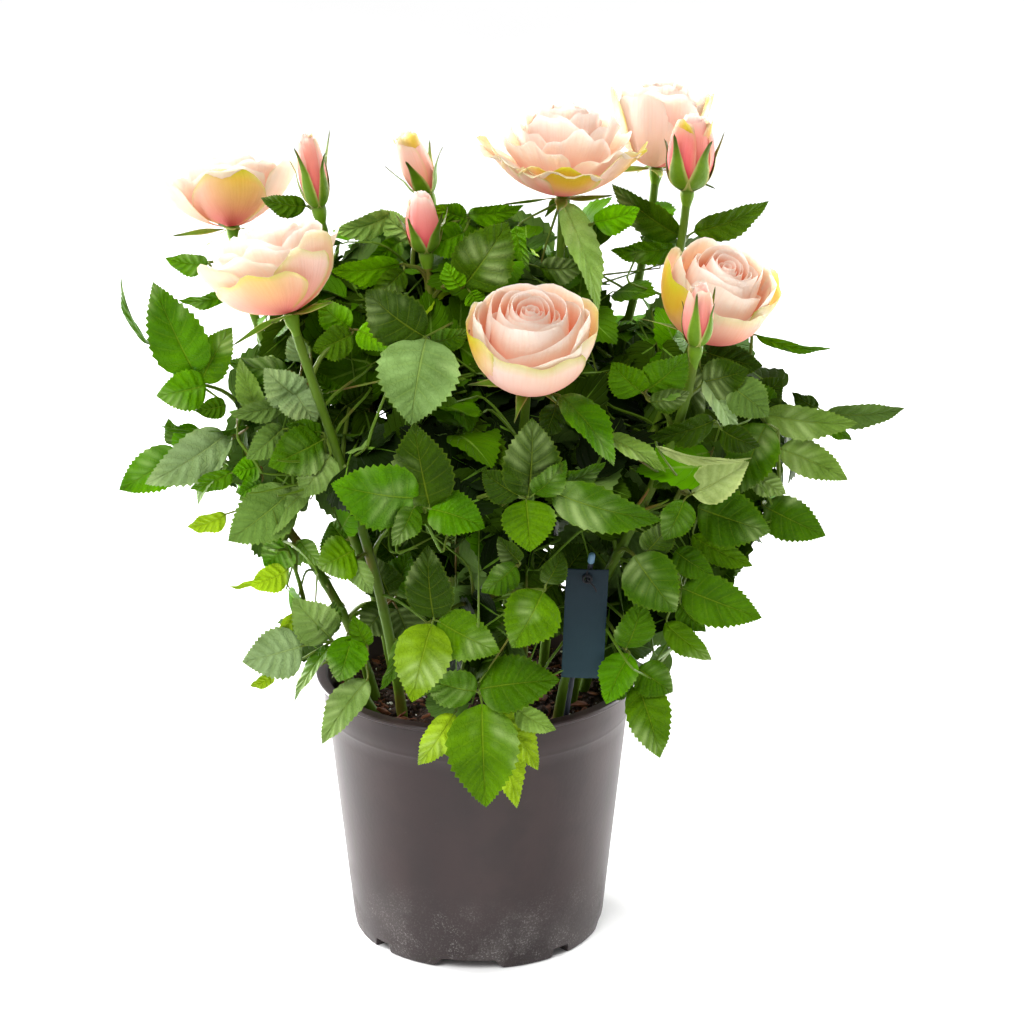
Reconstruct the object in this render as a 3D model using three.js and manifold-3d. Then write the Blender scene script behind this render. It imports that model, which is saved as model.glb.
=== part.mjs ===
// A rose bush in a plastic nursery pot: canes that rise from the soil, masses of foliage,
// open blooms and buds on their stems, and a blank plant label on a rod.
// Millimetres, +Z up. The origin is the centre of the pot's underside, and -Y is the front.
import * as THREE from "three";
import { mergeVertices } from "three/addons/utils/BufferGeometryUtils.js";
import Module from "manifold-3d";

const wasm = await Module();
wasm.setup();

// ---- Driving dimensions -------------------------------------------------------------------
const GAP = 0.3; // between solids that touch in the real plant
const POT = {
  height: 143,
  rimRadius: 85,
  rimHeight: 3,
  collarRadius: 80.5,
  collarHeight: 16,
  collarStep: 1.6,
  baseRadius: 66,
  wall: 2,
  floor: 8,
  sides: 44,
};
const CHANNEL = { depth: 5.2, inner: 32, wide: 27, narrow: 10, count: 8 };
const SOIL_TOP = 128;
const CANE = { sides: 5, steps: 8, footRadius: 3.6, tipRadius: 2.5 };
const LABEL = { width: 21, height: 66, thick: 0.8, hole: 2.2, rodRadius: 1.4, tilt: 0.257, roll: 0.03 };

// ---- Materials ----------------------------------------------------------------------------
const material = (color, roughness) => new THREE.MeshStandardMaterial({ color, roughness, metalness: 0 });
const POT_PLASTIC = material(0x6a6160, 0.45);
const PEAT = material(0x2a1c14, 1);
const GREEN_STEM = material(0x6f9a2a, 0.5);
const FOLIAGE = material(0x3f7d22, 0.6);
const PETAL = material(0xf6cdb8, 0.6);
const BUD_PETAL = material(0xe98d86, 0.6);
const LABEL_CARD = material(0x34495a, 0.4);
const LABEL_ROD = material(0x1c1f24, 0.4);

// ---- Solids and meshes --------------------------------------------------------------------
const plant = new THREE.Group();
const vec = (p) => new THREE.Vector3(...p);

// A closed geometry as a manifold-3d solid.
function solid(geometry) {
  const bare = geometry.clone();
  for (const name of Object.keys(bare.attributes)) if (name !== "position") bare.deleteAttribute(name);
  const merged = mergeVertices(bare, 1e-4);
  return new wasm.Manifold(
    new wasm.Mesh({
      numProp: 3,
      vertProperties: merged.attributes.position.array,
      triVerts: new Uint32Array(merged.index.array),
    }),
  );
}

// A manifold-3d solid as a named mesh of the plant.
function add(name, body, look) {
  const mesh = body.getMesh();
  const geometry = new THREE.BufferGeometry()
    .setAttribute("position", new THREE.BufferAttribute(mesh.vertProperties, 3))
    .setIndex(new THREE.BufferAttribute(mesh.triVerts, 1));
  const made = new THREE.Mesh(geometry.toNonIndexed(), look);
  made.geometry.computeVertexNormals();
  made.name = name;
  plant.add(made);
  return made;
}

const join = (bodies) => bodies.reduce((sum, body) => sum.add(body));
const zOf = (body, end) => body.boundingBox()[end][2];

// The piece of a cut solid that reaches lowest, or highest.
const lowest = (body) => body.decompose().reduce((a, b) => (zOf(b, "min") < zOf(a, "min") ? b : a));
const highest = (body) => body.decompose().reduce((a, b) => (zOf(b, "max") > zOf(a, "max") ? b : a));

// Turns geometry that was made round +Z to a place and an axis.
function place(geometry, centre, axis) {
  const turn = new THREE.Quaternion().setFromUnitVectors(new THREE.Vector3(0, 0, 1), vec(axis).normalize());
  return geometry.applyQuaternion(turn).translate(...centre);
}

// ---- The pot and its soil -----------------------------------------------------------------
// A profile of [radius, height] points turned about Z.
function turned(points, sides) {
  const profile = points.map(([r, z]) => new THREE.Vector2(r, z));
  return new THREE.LatheGeometry(profile, sides).rotateX(Math.PI / 2);
}

const collarFoot = POT.height - POT.rimHeight - POT.collarHeight;
const wallTop = POT.collarRadius - POT.collarStep;
const slope = (wallTop - POT.baseRadius) / collarFoot;
const innerRadius = (z) => POT.baseRadius + slope * z - POT.wall;

function potShell() {
  const { height, rimRadius, rimHeight, collarRadius, baseRadius, wall, floor, sides } = POT;
  return turned(
    [
      [0, 0],
      [baseRadius - 1.2, 0],
      [baseRadius, 1.2],
      [wallTop, collarFoot],
      [collarRadius - 0.4, collarFoot + 1],
      [collarRadius, height - rimHeight],
      [rimRadius - 0.6, height - rimHeight],
      [rimRadius, height - rimHeight / 2],
      [rimRadius - 0.6, height],
      [collarRadius - wall, height],
      [innerRadius(collarFoot), collarFoot],
      [innerRadius(floor), floor],
      [0, floor],
    ],
    sides,
  );
}

// The drainage channels under the floor end as the notches seen in the foot of the wall.
function channels() {
  const { depth, inner, wide, narrow, count } = CHANNEL;
  const reach = POT.baseRadius + 6;
  const cuts = [];
  for (let i = 0; i < count; i++) {
    const isWide = i % 2 === 0;
    const top = (isWide ? wide : narrow) / 2;
    const flare = isWide ? 6 : 1.5;
    const section = new THREE.Shape([
      new THREE.Vector2(-top - flare, -1),
      new THREE.Vector2(top + flare, -1),
      new THREE.Vector2(top, depth),
      new THREE.Vector2(-top, depth),
    ]);
    const start = isWide ? inner + 8 : inner + 4;
    const cut = new THREE.ExtrudeGeometry(section, { depth: reach - start, bevelEnabled: false });
    cut.rotateX(Math.PI / 2).translate(0, -start, 0);
    cuts.push(solid(cut.rotateZ(((i - 0.09) * 2 * Math.PI) / count)));
  }
  return join(cuts);
}

const potSolid = solid(potShell()).subtract(channels());
add("pot", potSolid, POT_PLASTIC);
const soilRadius = (z) => innerRadius(z) - GAP;
const soilGeometry = turned(
  [
    [0, POT.floor + GAP],
    [soilRadius(POT.floor), POT.floor + GAP],
    [soilRadius(collarFoot), collarFoot],
    [soilRadius(collarFoot), SOIL_TOP],
    [0, SOIL_TOP],
  ],
  POT.sides,
);
add("soil", solid(soilGeometry), PEAT);

// ---- Blooms and buds ----------------------------------------------------------------------
// Each flower: the middle of its foot, its axis, its radius and height, and where its cane leaves the soil.
const BLOOMS = [
  { name: "front", at: [24, -81, 317], axis: [0.04, -0.46, 0.89], r: 34, h: 46, foot: [12, -28] },
  { name: "front_left", at: [-87, -64, 352], axis: [-0.3, 0.22, 0.93], r: 33, h: 46, foot: [-38, -30] },
  { name: "back_left", at: [-125, 56, 364], axis: [-0.12, 0.3, 0.95], r: 31, h: 36, foot: [-44, 22] },
  { name: "top", at: [41, 12, 393], axis: [0.04, 0.1, 0.99], r: 39, h: 42, foot: [22, 8] },
  { name: "top_right", at: [92, 72, 394], axis: [0.06, 0.06, 1], r: 25, h: 42, foot: [34, 36] },
  { name: "right", at: [112, -22, 331], axis: [0.28, -0.38, 0.88], r: 30, h: 48, foot: [48, -16] },
];
const BUDS = [
  { name: "left", at: [-80, 20, 386], axis: [-0.05, 0, 1], r: 9, h: 36, foot: [-26, 12] },
  { name: "back", at: [-26, 55, 384], axis: [-0.3, 0, 0.95], r: 11, h: 33, foot: [-8, 40] },
  { name: "middle", at: [-25, -10, 371], axis: [-0.08, 0, 1], r: 12, h: 31, foot: [-10, -4] },
  { name: "right_top", at: [107, 25, 393], axis: [0.1, 0, 1], r: 15, h: 37, foot: [46, 12] },
  { name: "right_front", at: [107, -75, 341], axis: [0.12, 0, 1], r: 10, h: 31, foot: [40, -42] },
];

// Half outline of a flower as [share of radius, share of height].
const OPEN_CUP = [[0, 0], [0.36, 0.02], [0.78, 0.26], [1, 0.6], [0.92, 0.84], [0.6, 0.97], [0, 0.93]];
const CLOSED_BUD = [[0, 0], [0.5, 0.03], [1, 0.34], [0.86, 0.68], [0.42, 0.94], [0, 1]];

function flower({ at, axis, r, h }, outline, sides, grow = 0) {
  const points = outline.map(([share, up], i) => {
    const onAxis = i === 0 || i === outline.length - 1;
    const radius = onAxis ? 0 : share * r + grow;
    return [radius, up * h + (up < 0.1 ? -grow : up > 0.9 ? grow : 0)];
  });
  return solid(place(turned(points, sides), at, axis));
}

const flowerSolids = [];
const flowerSpaces = [];
for (const [list, outline, sides, kind] of [
  [BLOOMS, OPEN_CUP, 10, "bloom"],
  [BUDS, CLOSED_BUD, 8, "bud"],
]) {
  for (const f of list) {
    const body = flower(f, outline, sides);
    flowerSolids.push(body);
    flowerSpaces.push(flower(f, outline, sides, GAP));
    add(`${kind}_${f.name}`, body, kind === "bloom" ? PETAL : BUD_PETAL);
  }
}

// ---- The label ----------------------------------------------------------------------------
const ROD_FOOT = [43, -57.6, SOIL_TOP + GAP];
const ROD_TIP = [57.3, -86.2, 237];
const rodLine = vec(ROD_TIP).sub(vec(ROD_FOOT));
const rodAxis = rodLine.clone().normalize();
const rodMiddle = vec(ROD_FOOT).add(vec(ROD_TIP)).multiplyScalar(0.5).toArray();
function rodGeometry(grow) {
  const radius = LABEL.rodRadius + grow;
  const rod = new THREE.CylinderGeometry(radius, radius, rodLine.length(), 8);
  return place(rod.rotateX(Math.PI / 2), rodMiddle, rodAxis.toArray());
}

// The card lies on the front of the rod, a little straighter than the rod leans.
const CARD_CENTRE = [54.2, -78.2, 197.3];
const hang = (geometry) => geometry.rotateX(LABEL.tilt).rotateY(LABEL.roll).translate(...CARD_CENTRE);
function cardGeometry(grow, front) {
  const { width, height, thick } = LABEL;
  const card = new THREE.BoxGeometry(width + 2 * grow, thick + 2 * grow + front, height + 2 * grow);
  return hang(card.translate(0, -front / 2, 0));
}
function labelCard() {
  const { height, thick, hole } = LABEL;
  const punch = new THREE.CylinderGeometry(hole, hole, thick * 4, 10).translate(0, 0, height / 2 - 5);
  return solid(cardGeometry(0, 0)).subtract(solid(hang(punch)));
}
const labelSpace = join([solid(rodGeometry(GAP)), solid(cardGeometry(2, 90))]);

// ---- Masses of foliage --------------------------------------------------------------------
// Each mass: its middle, its half sizes, and the tips of the sprays that reach out of it.
const MASSES = [
  { name: "middle", at: [-5, 4, 270], size: [80, 64, 62], tips: [] },
  { name: "upper_middle", at: [-14, 20, 344], size: [60, 56, 38], tips: [[-4, 24, 386]] },
  { name: "upper_left", at: [-92, 10, 330], size: [54, 54, 42], tips: [[-98, 38, 388], [-152, 34, 338]] },
  { name: "upper_right", at: [86, 34, 338], size: [58, 56, 44], tips: [[149, 40, 383], [74, 22, 386]] },
  { name: "left", at: [-134, -10, 294], size: [46, 52, 42], tips: [[-181, 20, 348], [-176, -16, 300]] },
  { name: "right", at: [146, 6, 282], size: [50, 56, 40], tips: [[219, 0, 285], [182, 20, 312]] },
  { name: "front", at: [-34, -84, 268], size: [66, 44, 50], tips: [[-36, -136, 262]] },
  { name: "front_right", at: [78, -70, 256], size: [62, 46, 48], tips: [[128, -100, 258]] },
  { name: "front_left", at: [-92, -66, 274], size: [40, 40, 42], tips: [] },
  { name: "low_left", at: [-120, -36, 238], size: [48, 50, 34], tips: [[-181, -20, 248], [-146, -60, 222]] },
  { name: "low_right", at: [130, -26, 226], size: [52, 54, 38], tips: [[180, -30, 232], [143, -60, 194]] },
  { name: "back", at: [4, 100, 310], size: [78, 56, 50], tips: [[-10, 164, 304]] },
  { name: "back_left", at: [-94, 86, 276], size: [62, 56, 52], tips: [[-152, 118, 286]] },
  { name: "back_right", at: [100, 90, 272], size: [62, 56, 52], tips: [[160, 120, 280]] },
  { name: "low_back", at: [4, 114, 216], size: [86, 46, 46], tips: [[-62, 146, 176], [66, 146, 180]] },
  { name: "low_front", at: [20, -88, 198], size: [66, 38, 36], tips: [[-24, -112, 168]] },
  { name: "foot_left", at: [-84, -54, 174], size: [40, 34, 26], tips: [[-118, -70, 165], [-92, -80, 130]] },
  { name: "foot_right", at: [92, -48, 178], size: [42, 42, 32], tips: [[93, -70, 122]] },
  { name: "drape", at: [2, -102, 142], size: [28, 13, 34], tips: [[7, -108, 110], [-32, -100, 134]] },
];
const BLOB_DETAIL = 2;
const TIP_SHARPNESS = 16;

// An uneven closed solid: an ellipsoid with slow bumps, drawn out towards each of its tips.
function blob({ at, size, tips }, seed, grow) {
  const geometry = mergeVertices(bare(new THREE.IcosahedronGeometry(1, BLOB_DETAIL)));
  const position = geometry.attributes.position;
  const centre = vec(at);
  const spurs = tips.map((tip) => {
    const out = vec(tip).sub(centre);
    return { length: out.length(), way: out.normalize() };
  });
  for (let i = 0; i < position.count; i++) {
    const way = new THREE.Vector3().fromBufferAttribute(position, i).normalize();
    const bump = Math.sin(5 * way.x + 2.1 * seed) * Math.cos(4 * way.y - seed) + 0.5 * Math.sin(7 * way.z + 3 * seed);
    let reach = 1 / Math.hypot(way.x / size[0], way.y / size[1], way.z / size[2]);
    reach *= 1 + 0.07 * bump;
    for (const spur of spurs) {
      const near = Math.exp(TIP_SHARPNESS * (way.dot(spur.way) - 1));
      reach += Math.max(0, spur.length - reach) * near;
    }
    position.setXYZ(i, ...way.multiplyScalar(reach + grow).add(centre).toArray());
  }
  // The corner that points nearest to each tip is drawn out to the tip itself.
  for (const { way, length } of spurs) {
    const lean = (i) => new THREE.Vector3().fromBufferAttribute(position, i).sub(centre).normalize().dot(way);
    let nearest = 0;
    for (let i = 1; i < position.count; i++) if (lean(i) > lean(nearest)) nearest = i;
    position.setXYZ(nearest, ...centre.clone().addScaledVector(way, length + grow).toArray());
  }
  return solid(geometry);
}
function bare(geometry) {
  geometry.deleteAttribute("normal");
  geometry.deleteAttribute("uv");
  return geometry;
}

const potSpace = solid(
  turned(
    [[0, -1], [POT.rimRadius + 1.5, -1], [POT.rimRadius + 1.5, POT.height + 1], [0, POT.height + 1]],
    POT.sides,
  ),
);
// The front of each bloom stays open, so the foliage is cut back there as well.
const bloomFronts = BLOOMS.map((b) => {
  const ball = new THREE.IcosahedronGeometry(b.r * 0.9, 1);
  return solid(ball.translate(...vec(b.at).addScaledVector(vec(b.axis), b.h * 0.9).toArray()));
});

let taken = join([...flowerSpaces, ...bloomFronts, labelSpace, potSpace]);
const massSpaces = [];
MASSES.forEach((mass, i) => {
  const parts = blob(mass, i + 1, 0).subtract(taken).decompose();
  const body = parts.reduce((a, b) => (b.volume() > a.volume() ? b : a));
  add(`foliage_${mass.name}`, body, FOLIAGE);
  const space = blob(mass, i + 1, GAP);
  massSpaces.push(space);
  taken = taken.add(space);
});
const allMasses = join(massSpaces);

// ---- Canes and flower stems ---------------------------------------------------------------
// A tapering limb: a cylinder bent along a curve.
function limb(curve, footRadius, tipRadius) {
  const geometry = bare(new THREE.CylinderGeometry(tipRadius, footRadius, 1, CANE.sides, CANE.steps));
  const position = geometry.attributes.position;
  const across = new THREE.Vector3(1, 0, 0);
  for (let i = 0; i < position.count; i++) {
    const t = position.getY(i) + 0.5;
    const along = t < 0.02 ? new THREE.Vector3(0, 0, 1) : curve.getTangent(t);
    const side = across.clone().addScaledVector(along, -across.dot(along)).normalize();
    const front = new THREE.Vector3().crossVectors(along, side);
    const p = curve.getPoint(t).addScaledVector(side, position.getX(i)).addScaledVector(front, -position.getZ(i));
    position.setXYZ(i, p.x, p.y, p.z);
  }
  return solid(geometry);
}

// A cane leaves the soil nearly upright, arches out, and ends along the axis of what it carries.
function caneCurve(foot, tip, axis) {
  const start = new THREE.Vector3(foot[0], foot[1], SOIL_TOP + GAP);
  const end = vec(tip);
  const rise = end.z - start.z;
  const lean = new THREE.Vector3(foot[0], foot[1], 0).multiplyScalar(0.25);
  return new THREE.CubicBezierCurve3(
    start,
    start.clone().add(lean).add(new THREE.Vector3(0, 0, rise * 0.4)),
    end.clone().addScaledVector(vec(axis).normalize(), -rise * 0.35),
    end,
  );
}

const flowerSpace = join(flowerSpaces);
for (const f of [...BLOOMS, ...BUDS]) {
  const isBloom = BLOOMS.includes(f);
  const whole = limb(
    caneCurve(f.foot, f.at, f.axis),
    CANE.footRadius,
    isBloom ? CANE.tipRadius + 0.5 : CANE.tipRadius - 0.3,
  ).subtract(flowerSpace);
  const cut = whole.subtract(allMasses);
  add(`cane_${f.name}`, lowest(cut), GREEN_STEM);
  if (cut.decompose().length > 1) add(`stem_${f.name}`, highest(cut), GREEN_STEM);
}

// Leafy canes that carry no flower end inside the mass that they feed.
const LEAFY_CANES = [
  { name: "far_left", foot: [-52, -6], tip: [-128, -20, 262], axis: [-0.7, -0.1, 0.7] },
  { name: "low_left", foot: [-50, -26], tip: [-86, -46, 180], axis: [-0.5, -0.3, 0.8] },
  { name: "far_right", foot: [54, 2], tip: [138, 4, 268], axis: [0.7, 0, 0.7] },
  { name: "low_back", foot: [4, 56], tip: [6, 108, 214], axis: [0, 0.6, 0.8] },
];
for (const c of LEAFY_CANES) {
  const whole = limb(caneCurve(c.foot, c.tip, c.axis), CANE.footRadius - 0.6, CANE.tipRadius - 0.4);
  add(`cane_${c.name}`, lowest(whole.subtract(allMasses)), GREEN_STEM);
}

add("label_rod", solid(rodGeometry(0)), LABEL_ROD);
add("label_card", labelCard(), LABEL_CARD);

export default plant;
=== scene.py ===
"""A potted rose bush: its pot, soil, canes, leaves, blooms, buds and plant label, round the fixed frame."""

import bpy
import bmesh
import math
import numpy as np
from mathutils import Matrix, Vector
from mathutils.bvhtree import BVHTree


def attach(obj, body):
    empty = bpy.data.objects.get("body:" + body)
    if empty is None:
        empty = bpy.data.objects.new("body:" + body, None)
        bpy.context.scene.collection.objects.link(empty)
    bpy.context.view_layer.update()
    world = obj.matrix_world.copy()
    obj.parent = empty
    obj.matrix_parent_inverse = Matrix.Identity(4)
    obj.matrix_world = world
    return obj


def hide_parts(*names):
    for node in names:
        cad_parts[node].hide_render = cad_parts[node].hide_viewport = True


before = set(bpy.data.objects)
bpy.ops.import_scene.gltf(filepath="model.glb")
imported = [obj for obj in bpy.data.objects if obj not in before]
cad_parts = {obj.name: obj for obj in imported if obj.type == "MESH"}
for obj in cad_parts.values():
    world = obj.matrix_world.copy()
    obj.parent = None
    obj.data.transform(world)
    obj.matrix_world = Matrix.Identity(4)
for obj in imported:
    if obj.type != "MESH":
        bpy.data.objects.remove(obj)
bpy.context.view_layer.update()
scene = bpy.context.scene
MM = 0.001  # the plant is worked out in millimetres


# ---- Camera ---------------------------------------------------------------------------------
LENS, SENSOR, VIEW_PIXELS = 120.0, 36.0, 1024
PITCH = math.radians(19.3)
CAMERA_AIM = np.array([18.0, 0.0, 229.0])
CAMERA_DISTANCE = 1760.0
FOCAL = LENS / SENSOR * VIEW_PIXELS
AHEAD = np.array([0, math.cos(PITCH), -math.sin(PITCH)])
UPWARD = np.array([0, math.sin(PITCH), math.cos(PITCH)])
SIDEWAYS = np.array([1.0, 0, 0])
EYE = CAMERA_AIM - AHEAD * CAMERA_DISTANCE
PIXELS_PER_MM = 1.95  # near the middle of the plant


def seen_at(across, down, depth):
    """The point in mm that shows at this pixel of the camera's view and lies at this depth (+y is away)."""
    ray = AHEAD * FOCAL + SIDEWAYS * (across - VIEW_PIXELS / 2) - UPWARD * (down - VIEW_PIXELS / 2)
    return EYE + ray * ((depth - EYE[1]) / ray[1])


def in_view(points):
    """The pixels of the view where points in mm show, and how far ahead of the camera they are."""
    offset = np.atleast_2d(points) - EYE
    ahead = offset @ AHEAD
    across = VIEW_PIXELS / 2 + FOCAL * (offset @ SIDEWAYS) / ahead
    down = VIEW_PIXELS / 2 - FOCAL * (offset @ UPWARD) / ahead
    return np.column_stack([across, down]), ahead


def add_camera():
    """The camera that the sprays and the crown's outline are worked out for."""
    camera = bpy.data.objects.new("camera", bpy.data.cameras.new("camera"))
    scene.collection.objects.link(camera)
    camera.data.lens, camera.data.sensor_width = LENS, SENSOR
    camera.location = EYE * MM
    camera.rotation_euler = Vector(AHEAD).to_track_quat("-Z", "Y").to_euler()
    scene.camera = camera


# ---- Shader expressions ---------------------------------------------------------------------
class Value:
    """A shader socket that ordinary arithmetic adds Math nodes to."""

    def __init__(self, finish, socket):
        self.finish, self.socket = finish, socket

    def math(self, operation, *others):
        return self.finish.node("ShaderNodeMath", {"operation": operation}, [self, *others])

    def __add__(self, other):
        return self.math("ADD", other)

    def __sub__(self, other):
        return self.math("SUBTRACT", other)

    def __rsub__(self, other):
        return self.finish.node("ShaderNodeMath", {"operation": "SUBTRACT"}, [other, self])

    def __mul__(self, other):
        return self.math("MULTIPLY", other)

    __radd__, __rmul__ = __add__, __mul__

    def step(self, low, high):
        """0 below low, 1 above high, and smooth between."""
        settings = {"interpolation_type": "SMOOTHSTEP"}
        inputs = {"Value": self, "From Min": low, "From Max": high}
        return self.finish.node("ShaderNodeMapRange", settings, inputs)


class Finish:
    """One material: a Principled shader with its fixed values, and the nodes that vary it."""

    def __init__(self, name, **fixed):
        self.material = bpy.data.materials.new(name)
        self.material.use_nodes = True
        self.tree = self.material.node_tree
        self.shader = self.tree.nodes["Principled BSDF"]
        for key, value in fixed.items():
            self.shader.inputs[key.replace("_", " ")].default_value = value

    def node(self, kind, settings=None, inputs=None, output=0):
        made = self.tree.nodes.new(kind)
        for key, value in (settings or {}).items():
            setattr(made, key, value)
        entries = inputs.items() if isinstance(inputs, dict) else enumerate(inputs or [])
        for key, value in entries:
            self.join(made.inputs[key], value)
        return Value(self, made.outputs[output])

    def join(self, socket, value):
        if isinstance(value, Value):
            self.tree.links.new(value.socket, socket)
        else:
            socket.default_value = value

    def place(self):
        return self.node("ShaderNodeTexCoord", output="Object")

    def own(self, name):
        return self.node("ShaderNodeAttribute", {"attribute_name": name}, output="Color")

    def along_and_across(self):
        """How far along its piece a point lies, and how far across it, both from 0 to 1."""
        return self.parts(self.node("ShaderNodeUVMap", {"uv_map": "blade"}))[:2]

    def parts(self, vector):
        split = self.node("ShaderNodeSeparateXYZ", inputs=[vector])
        return [Value(self, socket) for socket in split.socket.node.outputs]

    def noise(self, scale, detail=3.0, stretch=(1, 1, 1), rough=0.5):
        placed = self.node("ShaderNodeMapping", inputs={"Vector": self.place(), "Scale": stretch})
        inputs = {"Vector": placed, "Scale": scale, "Detail": detail, "Roughness": rough}
        return self.node("ShaderNodeTexNoise", inputs=inputs, output="Fac")

    def cells(self, scale, feature="F1"):
        inputs = {"Vector": self.place(), "Scale": scale}
        return self.node("ShaderNodeTexVoronoi", {"feature": feature}, inputs, "Distance")

    def mix(self, amount, low, high, blend="MIX"):
        mixed = self.node("ShaderNodeMix", {"data_type": "RGBA", "blend_type": blend})
        box = mixed.socket.node
        self.join(box.inputs[0], amount)
        self.join(box.inputs[6], low)
        self.join(box.inputs[7], high)
        return Value(self, box.outputs[2])

    def bump(self, height, distance, strength=1.0):
        inputs = {"Height": height, "Distance": distance, "Strength": strength}
        return self.node("ShaderNodeBump", inputs=inputs)

    def set(self, **values):
        for key, value in values.items():
            self.join(self.shader.inputs[key.replace("_", " ")], value)
        return self.material


def tone(red, green, blue):
    """A colour as a screen shows it, 0 to 255, as the shader's own linear colour."""
    linear = [(c / 255 / 12.92) if c < 11 else ((c / 255 + 0.055) / 1.055) ** 2.4 for c in (red, green, blue)]
    return (*linear, 1.0)


def shaded(colour, factor):
    """The same colour, darker or lighter."""
    return (*(channel * factor for channel in colour[:3]), 1.0)


def grained(name, low, high, scale, rough, vary, shine=0.3, detail=3.0, stretch=(1, 1, 1)):
    """A finish whose colour and roughness follow one fine grain, and the grain itself."""
    finish = Finish(name, Specular_IOR_Level=shine)
    grain = finish.noise(scale, detail, stretch)
    finish.set(Base_Color=finish.mix(grain, low, high), Roughness=rough + vary * grain)
    return finish, grain


# ---- Gathered meshes ------------------------------------------------------------------------
SHARP_ANGLE = math.radians(55)


class Sheaf:
    """Many small shapes gathered into one mesh, with a material slot, a map and a tint for each."""

    def __init__(self):
        self.corners, self.faces, self.slots, self.maps, self.tints = [], [], [], [], []
        self.count = 0

    def lay(self, corners, faces, slots=0, uv=None, tint=None):
        n = len(corners)
        self.corners.append(corners)
        base = self.count
        self.faces.extend([[base + k for k in face] for face in faces])
        self.slots.extend([slots] * len(faces) if isinstance(slots, int) else slots)
        self.maps.append(np.zeros((n, 2)) if uv is None else uv)
        tint = np.ones((n, 4)) if tint is None else np.asarray(tint, float)
        self.tints.append(np.broadcast_to(tint, (n, 4)))
        self.count += n

    def piece(self, name, materials):
        """Makes the mesh a piece of the body root."""
        mesh = bpy.data.meshes.new(name)
        corners = np.concatenate(self.corners) * MM
        mesh.from_pydata(corners.tolist(), [], self.faces)
        mesh.polygons.foreach_set("material_index", self.slots)
        mesh.polygons.foreach_set("use_smooth", [True] * len(self.faces))
        order = np.empty(len(mesh.loops), int)
        mesh.loops.foreach_get("vertex_index", order)
        mesh.uv_layers.new(name="blade").data.foreach_set("uv", np.concatenate(self.maps)[order].ravel())
        colours = mesh.color_attributes.new("tint", "FLOAT_COLOR", "POINT")
        colours.data.foreach_set("color", np.concatenate(self.tints).ravel())
        for material in materials:
            mesh.materials.append(material)
        mesh.set_sharp_from_angle(angle=SHARP_ANGLE)
        mesh.update()
        made = bpy.data.objects.new(name, mesh)
        scene.collection.objects.link(made)
        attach(made, "root")
        return made


SHEET_FACES = {}


def sheet_faces(rows, columns):
    """Faces of a closed thin sheet: a top and an underside that share their edge and fold alike."""
    key = (rows, columns)
    if key not in SHEET_FACES:
        top = np.arange(rows * columns).reshape(rows, columns)
        inner = np.arange((rows - 2) * (columns - 2)).reshape(rows - 2, columns - 2)
        under = top.copy()
        under[1:-1, 1:-1] = rows * columns + inner

        def quads(grid, turn):
            a, b, c, d = grid[:-1, :-1], grid[1:, :-1], grid[1:, 1:], grid[:-1, 1:]
            return np.stack([a, d, c, b] if turn else [a, b, c, d], -1).reshape(-1, 4).tolist()

        SHEET_FACES[key] = quads(top, False) + quads(under, True)
    return SHEET_FACES[key]


def sheet_corners(grid, thickness):
    """Corners of the closed sheet whose top is this grid of places."""
    along = np.gradient(grid, axis=0)
    across = np.gradient(grid, axis=1)
    normal = np.cross(along, across)
    normal /= np.linalg.norm(normal, axis=2, keepdims=True) + 1e-9
    under = (grid - normal * thickness)[1:-1, 1:-1]
    return np.concatenate([grid.reshape(-1, 3), under.reshape(-1, 3)])


def turned_over(faces):
    """The same faces looking the other way, each still split along the same diagonal."""
    return [[face[0], *face[:0:-1]] for face in faces]


def spread(values):
    """A grid of values for the top of a sheet, repeated for its underside."""
    return np.concatenate([grid.reshape(-1, *values.shape[2:]) for grid in (values, values[1:-1, 1:-1])])


def blade_map(rows, columns):
    """The map of a sheet: how far along it each corner lies, and how far across it."""
    along, across = np.meshgrid(np.linspace(0, 1, rows), columns, indexing="ij")
    return spread(np.stack([along, 0.5 + 0.5 * across], -1))


def unit(vector):
    return np.asarray(vector, float) / (np.linalg.norm(vector) + 1e-12)


def basis(along, facing):
    """Columns: the direction along, the one across, and the facing direction squared to them."""
    x = unit(along)
    z = unit(np.asarray(facing, float) - x * np.dot(facing, x))
    return np.column_stack([x, np.cross(z, x), z])


def tube(sheaf, points, radii, sides=8, slot=0):
    """A closed limb along a path of points."""
    points = np.asarray(points, float)
    radii = np.broadcast_to(np.asarray(radii, float), (len(points),))
    heading = np.gradient(points, axis=0)
    heading /= np.linalg.norm(heading, axis=1, keepdims=True) + 1e-12
    side = unit(np.cross(heading[0], [0.31, 0.9, 0.22]))
    rings = []
    for k, way in enumerate(heading):
        side = unit(side - way * np.dot(side, way))
        other = np.cross(way, side)
        turn = np.linspace(0, 2 * np.pi, sides, endpoint=False)
        ring = np.cos(turn)[:, None] * side + np.sin(turn)[:, None] * other
        rings.append(points[k] + ring * radii[k])
    n = len(points)
    faces = []
    for k in range(n - 1):
        for j in range(sides):
            a, b = k * sides + j, k * sides + (j + 1) % sides
            faces.append([a, b, b + sides, a + sides])
    faces.append(list(range(sides))[::-1])
    faces.append([(n - 1) * sides + j for j in range(sides)])
    length = np.repeat(np.linspace(0, 1, n), sides)
    round_ = np.tile(np.linspace(0, 1, sides, endpoint=False), n)
    sheaf.lay(np.concatenate(rings), faces, slot, np.column_stack([length, round_]))


def bezier(a, b, c, d, count):
    """Points along the curve from a to d that leaves towards b and arrives from c."""
    t = np.linspace(0, 1, count)[:, None]
    return (1 - t) ** 3 * a + 3 * (1 - t) ** 2 * t * b + 3 * (1 - t) * t * t * c + t**3 * d


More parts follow.
